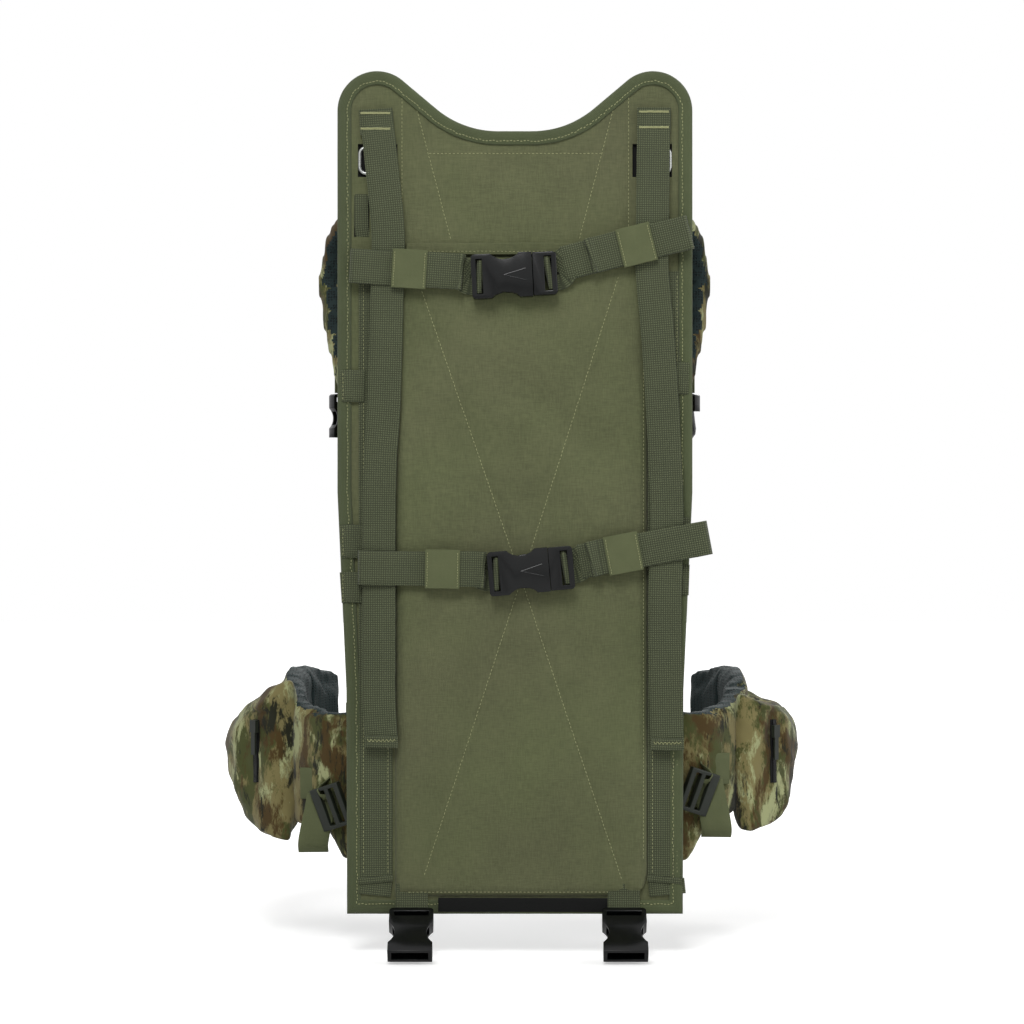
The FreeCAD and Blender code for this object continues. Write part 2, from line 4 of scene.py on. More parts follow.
import bmesh
import bpy
from mathutils import Matrix, Vector, noise
from mathutils.bvhtree import BVHTree
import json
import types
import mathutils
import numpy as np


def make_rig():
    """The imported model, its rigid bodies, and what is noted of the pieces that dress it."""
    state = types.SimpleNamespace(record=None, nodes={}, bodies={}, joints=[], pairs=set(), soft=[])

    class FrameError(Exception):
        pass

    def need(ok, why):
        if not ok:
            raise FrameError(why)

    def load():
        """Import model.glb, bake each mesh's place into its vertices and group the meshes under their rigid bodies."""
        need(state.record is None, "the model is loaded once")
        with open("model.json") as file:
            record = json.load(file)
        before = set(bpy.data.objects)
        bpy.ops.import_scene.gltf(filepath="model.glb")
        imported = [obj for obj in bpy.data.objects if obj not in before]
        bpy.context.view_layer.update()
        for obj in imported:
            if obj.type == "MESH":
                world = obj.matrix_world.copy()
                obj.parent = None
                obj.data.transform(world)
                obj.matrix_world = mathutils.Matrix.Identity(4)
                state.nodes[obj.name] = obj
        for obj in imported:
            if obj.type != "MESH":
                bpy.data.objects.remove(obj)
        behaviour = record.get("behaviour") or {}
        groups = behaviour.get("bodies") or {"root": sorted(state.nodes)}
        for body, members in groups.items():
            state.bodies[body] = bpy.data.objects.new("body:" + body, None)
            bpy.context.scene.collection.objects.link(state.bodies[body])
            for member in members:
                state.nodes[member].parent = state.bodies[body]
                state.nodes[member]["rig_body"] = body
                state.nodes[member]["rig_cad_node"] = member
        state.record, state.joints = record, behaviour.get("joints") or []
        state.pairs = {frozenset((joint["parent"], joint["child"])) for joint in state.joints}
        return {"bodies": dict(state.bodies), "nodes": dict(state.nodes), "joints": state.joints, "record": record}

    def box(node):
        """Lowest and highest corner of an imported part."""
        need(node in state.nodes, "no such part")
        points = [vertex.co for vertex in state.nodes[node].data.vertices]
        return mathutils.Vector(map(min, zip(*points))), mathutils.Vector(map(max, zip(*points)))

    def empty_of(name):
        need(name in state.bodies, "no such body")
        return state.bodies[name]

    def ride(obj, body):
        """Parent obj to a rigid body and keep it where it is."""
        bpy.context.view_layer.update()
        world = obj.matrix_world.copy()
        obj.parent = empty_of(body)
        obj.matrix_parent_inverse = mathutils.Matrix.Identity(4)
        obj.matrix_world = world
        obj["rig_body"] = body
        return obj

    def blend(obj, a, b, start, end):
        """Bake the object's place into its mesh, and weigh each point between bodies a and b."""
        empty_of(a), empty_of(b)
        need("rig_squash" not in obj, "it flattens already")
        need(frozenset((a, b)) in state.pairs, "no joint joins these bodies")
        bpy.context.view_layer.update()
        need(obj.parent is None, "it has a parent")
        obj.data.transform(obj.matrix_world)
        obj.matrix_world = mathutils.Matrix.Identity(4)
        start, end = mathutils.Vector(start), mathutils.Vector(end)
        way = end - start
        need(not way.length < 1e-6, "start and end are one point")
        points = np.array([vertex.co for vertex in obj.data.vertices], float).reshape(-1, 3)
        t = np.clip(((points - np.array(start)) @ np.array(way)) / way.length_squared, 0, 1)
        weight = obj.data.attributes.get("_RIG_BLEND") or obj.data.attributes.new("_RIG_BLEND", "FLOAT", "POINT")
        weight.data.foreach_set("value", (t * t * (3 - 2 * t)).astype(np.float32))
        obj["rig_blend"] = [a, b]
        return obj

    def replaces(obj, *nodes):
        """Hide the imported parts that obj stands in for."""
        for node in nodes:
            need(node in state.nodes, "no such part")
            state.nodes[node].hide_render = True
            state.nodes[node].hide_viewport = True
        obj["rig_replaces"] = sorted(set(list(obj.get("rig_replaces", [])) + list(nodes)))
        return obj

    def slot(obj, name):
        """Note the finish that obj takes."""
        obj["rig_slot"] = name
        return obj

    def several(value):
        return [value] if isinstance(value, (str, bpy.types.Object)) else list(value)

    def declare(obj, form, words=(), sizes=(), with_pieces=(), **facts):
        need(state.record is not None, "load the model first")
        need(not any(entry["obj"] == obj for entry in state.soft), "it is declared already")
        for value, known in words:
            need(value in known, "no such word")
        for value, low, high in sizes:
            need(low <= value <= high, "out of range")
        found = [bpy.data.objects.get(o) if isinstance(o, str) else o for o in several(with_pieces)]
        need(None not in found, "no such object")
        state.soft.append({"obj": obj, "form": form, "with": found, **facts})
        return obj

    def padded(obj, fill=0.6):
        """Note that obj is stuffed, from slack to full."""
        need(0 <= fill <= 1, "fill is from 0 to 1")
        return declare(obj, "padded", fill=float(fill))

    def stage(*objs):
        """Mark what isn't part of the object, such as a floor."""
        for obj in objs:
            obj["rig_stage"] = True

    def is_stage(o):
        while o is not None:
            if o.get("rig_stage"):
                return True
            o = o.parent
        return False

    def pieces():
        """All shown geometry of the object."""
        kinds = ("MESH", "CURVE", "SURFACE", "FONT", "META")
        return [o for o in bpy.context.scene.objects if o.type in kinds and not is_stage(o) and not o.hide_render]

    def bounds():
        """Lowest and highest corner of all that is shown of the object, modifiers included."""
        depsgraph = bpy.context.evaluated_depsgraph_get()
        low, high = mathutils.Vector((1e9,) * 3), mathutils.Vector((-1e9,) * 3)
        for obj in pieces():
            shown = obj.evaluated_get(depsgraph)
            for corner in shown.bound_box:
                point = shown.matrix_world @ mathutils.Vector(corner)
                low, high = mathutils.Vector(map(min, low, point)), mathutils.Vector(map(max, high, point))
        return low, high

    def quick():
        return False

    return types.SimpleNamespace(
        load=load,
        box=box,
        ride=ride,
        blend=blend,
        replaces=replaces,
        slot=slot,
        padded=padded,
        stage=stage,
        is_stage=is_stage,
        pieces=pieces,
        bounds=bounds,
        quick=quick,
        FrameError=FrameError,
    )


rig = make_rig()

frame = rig.load()
cad_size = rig.bounds()

# ---- Where the pack stands ----
# The pack is measured from its board, as it is when it is sewn: x across from the middle, y from the plastic
# sheet towards the wearer, and z up from the foot of the board, all in millimetres.
MM = 0.001
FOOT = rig.box("edge_binding")[0].z
SHEET_Y = (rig.box("frame_sheet")[0].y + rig.box("frame_sheet")[1].y) / 2


def at(x, y, z):
    return Vector((x * MM, SHEET_Y + y * MM, FOOT + z * MM))


# ---- Studio ----
# A long lens looks square on to the load side. One large soft lamp hangs above and in front of the pack, and
# weaker ones at the sides and behind keep the cloth readable all round. Floor and air are near white.
LENS_MM = 90.0
VIEW_DISTANCE = 2.0
view_centre = at(-2.3, -9.0, 314.7)
camera = bpy.data.objects.new("camera", bpy.data.cameras.new("camera"))
bpy.context.scene.collection.objects.link(camera)
camera.data.lens = LENS_MM
camera.location = view_centre + Vector((0, -VIEW_DISTANCE, 0))
camera.rotation_euler = (math.radians(90), 0, 0)
bpy.context.scene.camera = camera
bpy.context.scene.view_settings.view_transform = "Standard"


def lamp(name, place, size, watts):
    """A square soft box that faces the middle of the pack."""
    light = bpy.data.lights.new(name, "AREA")
    light.size = size
    light.energy = watts
    stand = bpy.data.objects.new(name, light)
    bpy.context.scene.collection.objects.link(stand)
    stand.location = place
    stand.rotation_euler = (view_centre - place).to_track_quat("-Z", "Y").to_euler()


lamp("key_lamp", at(-250, -1500, 1900), 0.9, 31.0)
lamp("side_lamp", at(1500, -700, 900), 1.0, 7.0)
lamp("back_lamp", at(400, 1700, 1500), 1.2, 20.0)


class Tone:
    """A shader value that is worked with like a number."""

    def __init__(self, finish, socket):
        self.finish = finish
        self.socket = socket

    def _sum(self, operation, first, second):
        return self.finish.node("ShaderNodeMath", {"operation": operation}, {0: first, 1: second})

    def __add__(self, other):
        return self._sum("ADD", self, other)

    def __radd__(self, other):
        return self._sum("ADD", other, self)

    def __sub__(self, other):
        return self._sum("SUBTRACT", self, other)

    def __rsub__(self, other):
        return self._sum("SUBTRACT", other, self)

    def __mul__(self, other):
        return self._sum("MULTIPLY", self, other)

    def __rmul__(self, other):
        return self._sum("MULTIPLY", other, self)

    def bounded(self):
        return self.finish.node("ShaderNodeClamp", {}, {0: self})

    def above(self, edge, softness):
        """0 below the edge and 1 above it, with a soft step."""
        return ((self - (edge - softness)) * (0.5 / softness)).bounded()

    def wave(self):
        """Sine of the value, brought to 0..1."""
        return self._sum("SINE", self, 0.0) * 0.5 + 0.5


class Finish:
    """One material under construction."""

    def __init__(self, name):
        self.material = bpy.data.materials.new(name)
        self.material.use_nodes = True
        self.tree = self.material.node_tree
        self.shader = self.tree.nodes["Principled BSDF"]

    def node(self, kind, settings, values, out=0):
        made = self.tree.nodes.new(kind)
        for key, value in settings.items():
            if key == "stops":
                self._set_stops(made.color_ramp, value)
            else:
                setattr(made, key, value)
        for key, value in values.items():
            self._plug(made.inputs[key], value)
        return Tone(self, made.outputs[out])

    def _plug(self, socket, value):
        if isinstance(value, Tone):
            self.tree.links.new(value.socket, socket)
        else:
            socket.default_value = value

    def _set_stops(self, ramp, stops):
        while len(ramp.elements) < len(stops):
            ramp.elements.new(1.0)
        for element, (place, colour) in zip(ramp.elements, stops):
            element.position = place
            element.color = colour

    def place(self):
        return self.node("ShaderNodeTexCoord", {}, {}, "Object")

    def scaled(self, vector, sizes, turn=(0, 0, 0)):
        return self.node("ShaderNodeMapping", {}, {"Vector": vector, "Scale": sizes, "Rotation": turn})

    def parts(self, vector):
        made = self.node("ShaderNodeSeparateXYZ", {}, {0: vector}).socket.node
        return [Tone(self, out) for out in made.outputs]

    def speckle(self, vector, scale, detail=2.0, roughness=0.5, distortion=0.0):
        values = {"Vector": vector, "Scale": scale, "Detail": detail, "Roughness": roughness,
                  "Distortion": distortion}
        return self.node("ShaderNodeTexNoise", {}, values)

    def mix(self, share, first, second, way="MIX"):
        return self.node("ShaderNodeMix", {"data_type": "RGBA", "blend_type": way},
                         {0: share, 6: first, 7: second}, 2)

    def look(self, colour, roughness, height=None, depth_mm=0.2, **constants):
        """Connect what varies, and set what doesn't on the shader's own sockets."""
        self._plug(self.shader.inputs["Base Color"], colour)
        self._plug(self.shader.inputs["Roughness"], roughness)
        if height is not None:
            bump = self.node("ShaderNodeBump", {},
                             {"Strength": 1.0, "Distance": depth_mm * MM, "Height": height})
            self._plug(self.shader.inputs["Normal"], bump)
        for key, value in constants.items():
            self.shader.inputs[key.replace("_", " ")].default_value = value
        return self.material


def dye(red, green, blue):
    """Linear colour from the 0..255 values of a dye sample."""
    return tuple(((c / 255 + 0.055) / 1.055) ** 2.4 if c > 10 else c / 3294.6 for c in (red, green, blue)) + (1.0,)


def made(bm, name, *materials, sharp=40.0):
    """Turn a finished bmesh into a piece in the scene."""
    mesh = bpy.data.meshes.new(name)
    bm.to_mesh(mesh)
    bm.free()
    for material in materials:
        mesh.materials.append(material)
    mesh.polygons.foreach_set("use_smooth", [True] * len(mesh.polygons))
    mesh.set_sharp_from_angle(angle=math.radians(sharp))
    piece = bpy.data.objects.new(name, mesh)
    bpy.context.scene.collection.objects.link(piece)
    return piece


world = bpy.data.worlds.new("studio_air")
bpy.context.scene.world = world
world.use_nodes = True
air = world.node_tree
path = air.nodes.new("ShaderNodeLightPath")
seen = air.nodes.new("ShaderNodeMath")
seen.operation = "MAXIMUM"
seen_through = air.nodes.new("ShaderNodeMath")
seen_through.operation = "MAXIMUM"
air.links.new(path.outputs["Is Camera Ray"], seen.inputs[0])
air.links.new(path.outputs["Is Glossy Ray"], seen.inputs[1])
air.links.new(seen.outputs[0], seen_through.inputs[0])
air.links.new(path.outputs["Is Transmission Ray"], seen_through.inputs[1])
AMBIENT = 0.42
strength = air.nodes.new("ShaderNodeMapRange")
strength.inputs["To Min"].default_value = AMBIENT
strength.inputs["To Max"].default_value = 1.0
air.links.new(seen_through.outputs[0], strength.inputs["Value"])
backdrop = air.nodes["Background"]
backdrop.inputs["Color"].default_value = (1, 1, 1, 1)
air.links.new(strength.outputs[0], backdrop.inputs["Strength"])

floor_mesh = bmesh.new()
bmesh.ops.create_grid(floor_mesh, x_segments=1, y_segments=1, size=6.0)
bmesh.ops.translate(floor_mesh, verts=floor_mesh.verts, vec=(0, 0, cad_size[0][2] - 0.002))
floor_finish = Finish("floor_paper")
floor_paper = floor_finish.look((0.86, 0.86, 0.86, 1), 0.9)
floor_rays = floor_finish.node("ShaderNodeLightPath", {}, {}, "Is Camera Ray")
floor_spread = floor_finish.node("ShaderNodeVectorMath", {"operation": "LENGTH"},
                                 {0: floor_finish.place()}, 1)
floor_glow = floor_finish.mix(floor_spread.above(1.1, 0.7), (0.34, 0.34, 0.34, 1), (0.9, 0.9, 0.9, 1))
floor_glow = floor_finish.mix(floor_rays, (0, 0, 0, 1), floor_glow)
floor_finish.tree.links.new(floor_glow.socket, floor_finish.shader.inputs["Emission Color"])
floor_finish.shader.inputs["Emission Strength"].default_value = 1.0
floor = made(floor_mesh, "floor", floor_paper)
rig.stage(floor)

# ---- Board: frame sheet, face and back cloth ----
# A polyethylene sheet between two layers of coated woven nylon. The face layer is cut open at the load lifter
# slots and at one lash slot. These are the CAD pieces, with their finishes.


def woven_cloth(name, colour, pitch_mm, fleck=0.16, depth_mm=0.16, roughness=0.78):
    """Plain weave: yarns cross at right angles, a little uneven in thickness and in colour. The low places of the weave
    are painted a little darker, a painted shade.
    """
    finish = Finish(name)
    place = finish.place()
    x, y, z = finish.parts(place)
    turns = 2 * math.pi / (pitch_mm * MM)
    wander = finish.speckle(place, 90.0, 2.0) * 2.2
    warp = (x * turns + wander).wave()
    weft = (z * turns + wander).wave()
    side = (y * turns + wander).wave()
    weave = warp * weft * 0.6 + (1 - warp) * (1 - weft) * 0.4 + side * 0.2
    slub_across = finish.speckle(finish.scaled(place, (150, 500, 1050)), 1.0, 3.0)
    slub_up = finish.speckle(finish.scaled(place, (1050, 500, 150)), 1.0, 3.0)
    yarns = slub_across * 0.5 + slub_up * 0.5
    clouds = finish.speckle(place, 14.0, 4.0, 0.55)
    # Yarns and clouds are the cloth's own uneven tone; the weave term is painted shade, darker where the weave lies
    # low.
    shade = (yarns - 0.5) * (fleck * 6.5) + (clouds - 0.5) * 0.5 + (weave - 0.35) * 0.22
    tint = finish.node("ShaderNodeHueSaturation", {}, {"Color": colour, "Value": shade + 1.0,
                                                       "Saturation": 1.06, "Hue": 0.5, "Fac": 1.0})
    hue = finish.speckle(place, 9.0, 3.0)
    tint = finish.mix(hue.above(0.5, 0.2) * 0.35, tint, (0.72, 0.93, 0.62, 1), "MULTIPLY")
    return finish.look(tint, yarns * 0.16 + (roughness - 0.08), weave + yarns * 1.4, depth_mm,
                       Specular_IOR_Level=0.16, Sheen_Weight=0.12, Sheen_Roughness=0.5)


CORDURA_TONE = dye(88, 90, 66)
cordura = woven_cloth("olive_cordura", CORDURA_TONE, 0.85)
back_cloth = woven_cloth("back_cloth", dye(72, 74, 55), 0.85)


def sheet_plastic():
    """Black polyethylene with the fine grain of an extruded sheet."""
    finish = Finish("sheet_plastic")
    grain = finish.speckle(finish.place(), 1400.0, 3.0)
    smear = finish.speckle(finish.place(), 30.0, 3.0)
    colour = finish.mix(smear, dye(5, 6, 5), dye(12, 13, 12))
    return finish.look(colour, grain * 0.2 + 0.5, grain, 0.05, Specular_IOR_Level=0.12)


def refinish(node, material):
    """Give a CAD piece its finish."""
    slots = frame["nodes"][node].data.materials
    slots.clear()
    slots.append(material)


refinish("face_panel", cordura)
refinish("back_cover", back_cloth)
refinish("frame_sheet", sheet_plastic())

# ---- Edge binding ----
# Folded nylon tape that wraps the board's edge, front and back, and closes it. It is sewn through all layers
# with one row of pale thread 8 mm in from the edge, and puckers a little between the stitches.
BOARD_TOP, BOARD_HALF, FOOT_HALF = 660.0, 139.0, 131.5
HORN_X, HORN_R = 108.0, 31.0
DIP_Z, DIP_R = 613.0, 75.0
HORN_SLOPE = math.radians(40.0)


def board_outline(inset, step_mm=2.5):
    """Points round the board, drawn in by inset: up the right side, over the horns and down the left."""
    horn_r, dip_r, dip_z = HORN_R - inset, DIP_R + inset, DIP_Z - inset
    horn_z = BOARD_TOP - HORN_R
    side, foot = BOARD_HALF - inset, FOOT_HALF - inset
    inner_x = HORN_X - horn_r * math.sin(HORN_SLOPE)
    inner_z = horn_z + horn_r * math.cos(HORN_SLOPE)
    dip_rise = dip_r * (1 - math.cos(HORN_SLOPE))
    dip_x = inner_x - (inner_z - dip_z - dip_rise) / math.tan(HORN_SLOPE)
    flat_x = dip_x - dip_r * math.sin(HORN_SLOPE)

    def straight(a, b, length):
        count = max(1, round(length / step_mm))
        return [(a[0] + (b[0] - a[0]) * i / count, a[1] + (b[1] - a[1]) * i / count) for i in range(count)]

    right = straight((0, inset), (foot, inset), FOOT_HALF)
    right += straight((foot, inset), (foot + 0.5, 175), 175)
    right += straight((foot + 0.5, 175), (side, 330), 155)
    right += straight((side, 330), (side, horn_z), horn_z - 330)
    turns = 26
    for i in range(turns):
        angle = (math.pi / 2 + HORN_SLOPE) * i / turns
        right.append((HORN_X + horn_r * math.cos(angle), horn_z + horn_r * math.sin(angle)))
    right += straight((inner_x, inner_z), (dip_x, dip_z + dip_rise), 32)
    for i in range(turns):
        angle = HORN_SLOPE * (1 - i / turns)
        right.append((flat_x + dip_r * math.sin(angle), dip_z + dip_r * (1 - math.cos(angle))))
    right += straight((flat_x, dip_z), (0, dip_z), flat_x)
    left = [(-x, z) for x, z in reversed(right[1:])]
    return right + [(0.0, dip_z)] + left


def tape_weave(name, colour, dark, rib_mm, column_mm, depth_mm=0.35, contrast=0.75):
    """Narrow woven nylon, read along and across the strip that it is made into. The hollows between the ribs are
    painted in the darker colour, a painted shade.
    """
    finish = Finish(name)
    lay = finish.node("ShaderNodeAttribute", {"attribute_name": "lay"}, {}, "Vector")
    across, along, _ = finish.parts(lay)
    wander = finish.speckle(finish.place(), 260.0, 2.0) * 1.6
    rib = (along * (2 * math.pi / (rib_mm * MM)) + wander).wave()
    column = (across * (2 * math.pi / (column_mm * MM))).wave()
    over = rib * column
    # Painted shade: where the ribs dip, the colour goes towards the darker one.
    shaded_hollow = (1 - over.above(0.3, 0.24)) * contrast
    fuzz = finish.speckle(finish.place(), 1500.0, 3.0, 0.6)
    clouds = finish.speckle(finish.place(), 22.0, 3.0)
    shade = (fuzz - 0.5) * 0.5 + (clouds - 0.5) * 0.35
    lit = finish.node("ShaderNodeHueSaturation", {}, {"Color": colour, "Value": shade + 1.0,
                                                      "Saturation": 1.0, "Hue": 0.5, "Fac": 1.0})
    tint = finish.mix(shaded_hollow, lit, dark)
    return finish.look(tint, fuzz * 0.2 + 0.6, over + fuzz * 0.25, depth_mm,
                       Specular_IOR_Level=0.2, Sheen_Weight=0.1, Sheen_Roughness=0.5)


# The second colour is the painted shade in the tape's weave hollows.
tape = tape_weave("edge_tape", dye(82, 90, 60), dye(56, 63, 42), 1.0, 1.1, 0.18, 0.5)
BIND_PROFILE = [(11.0, -4.4), (10.7, -5.5), (9.4, -6.1), (8.0, -5.7), (6.4, -6.2), (3.0, -6.3), (0.9, -5.6),
                (0.0, -4.0), (-0.2, 0.4), (0.0, 4.8), (0.9, 6.3), (3.0, 6.9), (8.0, 6.5), (10.7, 6.2),
                (11.0, 5.1)]

binding = bmesh.new()
binding_lay = binding.verts.layers.float_vector.new("lay")
rings = []
for inset, depth in BIND_PROFILE:
    outline = board_outline(inset)
    run = 0.0
    ring = []
    for i, (x, z) in enumerate(outline):
        run += math.dist(outline[i], outline[i - 1]) if i else 0.0
        pucker = noise.noise(Vector((x, z, depth * 2)) * 0.09) * 0.5 + noise.noise(Vector((x, z, 9)) * 0.35) * 0.22
        vert = binding.verts.new(at(x, depth - pucker * (1 if depth < 0 else -1), z))
        vert[binding_lay] = (inset * MM, run * MM, 0)
        ring.append(vert)
    rings.append([binding.edges.new((ring[i - 1], ring[i])) for i in range(len(ring))])
for first, second in zip(rings, rings[1:] + rings[:1]):
    bmesh.ops.bridge_loops(binding, edges=first + second)
bmesh.ops.recalc_face_normals(binding, faces=binding.faces)
edge_binding = made(binding, "edge_binding_tape", tape, sharp=80)
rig.ride(edge_binding, "board")
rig.replaces(edge_binding, "edge_binding")
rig.slot(edge_binding, "edge_tape")


def thread_finish():
    """Pale bonded thread with its twist."""
    finish = Finish("thread")
    twist = finish.speckle(finish.place(), 2600.0, 1.0)
    colour = finish.mix(twist, dye(120, 124, 86), dye(170, 171, 126))
    return finish.look(colour, 0.55, twist, 0.1, Specular_IOR_Level=0.3)


thread = thread_finish()


def spaced(points, step):
    """Points an even step apart along a run of straight stretches."""
    found = [points[0].copy()]
    left_over = 0.0
    for a, b in zip(points, points[1:]):
        length = (b - a).length
        reach = step - left_over
        while reach <= length:
            found.append(a.lerp(b, reach / length))
            reach += step
        left_over = length - (reach - step)
    return found


def stitching(name, rows, body, facing=Vector((0, -1, 0)), pitch=3.1, length=2.1, width=0.52,
              slot="edge_tape",
              stray=0.12):
    """Rows of lock stitches: each stitch is a short thread that dips into the cloth at both ends."""
    stitch_template = bmesh.new()
    bmesh.ops.create_uvsphere(stitch_template, u_segments=6, v_segments=5, radius=0.5)
    bmesh.ops.rotate(stitch_template, verts=stitch_template.verts, cent=(0, 0, 0),
                     matrix=Matrix.Rotation(math.pi / 2, 3, "Y"))
    template = bpy.data.meshes.new("one_stitch")
    stitch_template.to_mesh(template)
    stitch_template.free()
    chance = random.Random(name)
    bm = bmesh.new()
    for row in rows:
        marks = spaced(row, pitch * MM)
        for a, b in zip(marks, marks[1:]):
            run = (b - a).normalized()
            out = (facing - run * facing.dot(run)).normalized()
            beside = out.cross(run)
            middle = (a + b) / 2 + beside * chance.uniform(-stray, stray) * MM
            size = Matrix.Diagonal((length * MM * chance.uniform(0.9, 1.06), width * MM, width * MM, 1))
            turn = Matrix((run, beside, out)).transposed().to_4x4()
            copy = template.copy()
            copy.transform(Matrix.Translation(middle) @ turn @ size)
            bm.from_mesh(copy)
            bpy.data.meshes.remove(copy)
    bpy.data.meshes.remove(template)
    piece = made(bm, name, thread, sharp=80)
    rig.ride(piece, body)
    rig.slot(piece, slot)
    return piece


binding_row = [at(x, -6.0, z) for x, z in board_outline(8.0)]
stitching("binding_stitching", [binding_row], "board", pitch=2.7, length=2.0, width=0.7, stray=0.5)
back_row = [at(x, 6.75, z) for x, z in board_outline(8.0)]
stitching("binding_stitching_back", [back_row], "board", facing=Vector((0, 1, 0)), stray=0.5)

# ---- Face stitching ----
# Rows of pale thread hold the face cloth to the sheet: one row across below the saddle, one down each webbing
# channel, and the tops of the two long V seams.


THREAD_Y = -4.4


def on_face(x, z):
    return at(x, THREAD_Y, z)


face_rows = [[on_face(-68, 595.5), on_face(69, 595.5)],
             [on_face(-88.5, 643), on_face(-88.5, 518)],
             [on_face(89, 643), on_face(89, 518)],
             [on_face(-77, 630), on_face(-50, 527)],
             [on_face(77, 630), on_face(50, 527)]]
stitching("face_stitching", face_rows, "board", slot="olive_cordura")

# ---- Padded front panel ----
# A thin padded panel that cushions the load. Its cloth is drawn down along two long crossing seams and sags in
# soft diagonal folds. The top ends in a flat hem, and the lower right corner is rounded.
PANEL_LEFT, PANEL_RIGHT, PANEL_FOOT, PANEL_TOP = -94.0, 104.0, 13.6, 515.0
CORNER_R = 20.0
SEAMS = [[(-73, 488), (5, 262), (85, 23)], [(81, 499), (5, 262), (-72.5, 26)]]


def seam_distance(x, z):
    best = 99.0
    for seam in SEAMS:
        for (x0, z0), (x1, z1) in zip(seam, seam[1:]):
            share = ((x - x0) * (x1 - x0) + (z - z0) * (z1 - z0)) / ((x1 - x0) ** 2 + (z1 - z0) ** 2)
            share = min(1.0, max(0.0, share))
            best = min(best, math.dist((x, z), (x0 + share * (x1 - x0), z0 + share * (z1 - z0))))
    return best


def panel_front(x, z):
    """How far forward the panel's cloth lies at a place on it."""
    rim = min(x - PANEL_LEFT, PANEL_RIGHT - x, z - PANEL_FOOT, PANEL_TOP - z)
    puff = min(1.0, max(0.0, rim) / 9.0)
    puff = puff * (2 - puff)
    full = 4.7 * puff
    drawn = 1.0 * math.exp(-(seam_distance(x, z) / 4.5) ** 2)
    fold_room = math.exp(-((z - 350) / 75) ** 2)
    slant = (z - 350) * 0.8 + x * 0.62
    folds = math.sin(slant * 0.085 + 2.5 * noise.noise(Vector((x, z, 3)) * 0.012)) * 1.7 * fold_room
    cross = math.sin(((z - 330) * 0.7 - x * 0.75) * 0.075) * 1.2 * fold_room
    sag = noise.noise(Vector((x * 0.9, z, 5)) * 0.016) * 1.1 + noise.noise(Vector((x, z, 8)) * 0.045) * 0.4
    dimple = sum(depth * math.exp(-math.dist((x, z), place) ** 2 / 2 / reach ** 2)
                 for place, reach, depth in (((-45, 248), 13, 0.8), ((60, 262), 11, 0.6), ((-62, 470), 10, 0.5)))
    return -4.3 - full + (drawn + dimple) * puff - (folds + cross + sag) * puff * 0.8


panel = bmesh.new()
bmesh.ops.create_grid(panel, x_segments=86, y_segments=208, size=0.5)
for vert in panel.verts:
    x = PANEL_LEFT + (vert.co.x + 0.5) * (PANEL_RIGHT - PANEL_LEFT)
    z = PANEL_FOOT + (vert.co.y + 0.5) * (PANEL_TOP - PANEL_FOOT)
    corner = (PANEL_RIGHT - CORNER_R, PANEL_FOOT + CORNER_R)
    if x > corner[0] and z < corner[1]:
        square = max(x - corner[0], corner[1] - z)
        reach = math.dist((x, z), corner)
        x = corner[0] + (x - corner[0]) * square / reach
        z = corner[1] + (z - corner[1]) * square / reach
    vert.co = at(x, panel_front(x, z), z)
rim_edges = [e for e in panel.edges if e.is_boundary]
grown = bmesh.ops.extrude_edge_only(panel, edges=rim_edges)["geom"]
for vert in [g for g in grown if isinstance(g, bmesh.types.BMVert)]:
    vert.co.y = at(0, -4.25, 0).y
bmesh.ops.holes_fill(panel, edges=[e for e in panel.edges if e.is_boundary], sides=0)
bmesh.ops.triangulate(panel, faces=[f for f in panel.faces if len(f.verts) > 4])
bmesh.ops.recalc_face_normals(panel, faces=panel.faces)
front_panel = made(panel, "front_panel_cloth", cordura, sharp=70)
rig.ride(front_panel, "board")
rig.replaces(front_panel, "front_panel")
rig.padded(front_panel, 0.35)
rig.slot(front_panel, "olive_cordura")


def along_panel(points, lift=0.1):
    """A row of points on the panel's cloth."""
    row = []
    for (x0, z0), (x1, z1) in zip(points, points[1:]):
        count = max(2, round(math.dist((x0, z0), (x1, z1)) / 3))
        for i in range(count):
            x, z = x0 + (x1 - x0) * i / count, z0 + (z1 - z0) * i / count
            row.append(at(x, panel_front(x, z) - lift, z))
    return row


panel_rows = [along_panel(seam) for seam in SEAMS]
panel_rows.append(along_panel([(100.5, 505), (100.5, 40)]))
panel_rows.append(along_panel([(-84, 17.5), (80, 17.5)]))
stitching("panel_stitching", panel_rows, "board", slot="olive_cordura")

hem = bmesh.new()
bmesh.ops.create_cube(hem, size=1.0)
bmesh.ops.transform(hem, matrix=Matrix.Diagonal((182 * MM, 3.7 * MM, 9 * MM, 1)), verts=hem.verts)
bmesh.ops.subdivide_edges(hem, edges=hem.edges, cuts=7, use_grid_fill=True)
bmesh.ops.translate(hem, verts=hem.verts, vec=at(6, -6.15, 520.5))
for vert in hem.verts:
    vert.co.y += noise.noise(vert.co * 60) * 0.35 * MM
    vert.co.z += noise.noise(vert.co * 35) * 0.5 * MM
panel_hem = made(hem, "panel_hem_fold", cordura)
hem_round = panel_hem.modifiers.new("folded_edge", "BEVEL")
hem_round.width = 1.3 * MM
hem_round.segments = 3
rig.ride(panel_hem, "board")
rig.replaces(panel_hem, "panel_hem")
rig.slot(panel_hem, "olive_cordura")
stitching("hem_stitching", [[at(-83, -8.1, 518.4), at(95, -8.1, 518.4)]], "board", slot="olive_cordura")

# ---- Channel webs and lash loops ----
# Two long webs are sewn flat down the board beside the panel and folded under at the foot. Short loops of the
# same web at the board's edges take lashings. A black strip closes the foot of the board.
WEBBING_TONE = dye(88, 94, 68)
# The second colour is the painted shade in the hollows between the web's ribs.
webbing = tape_weave("olive_webbing", WEBBING_TONE, dye(38, 43, 29), 1.75, 1.75, 0.35, 0.8)
FORWARD = Vector((0, -1, 0))


# The record's material slot of a web is named like its finish, but for these.
SLOTS = {"lock_plastic": "black_plastic", "black_strip": "black_mesh"}


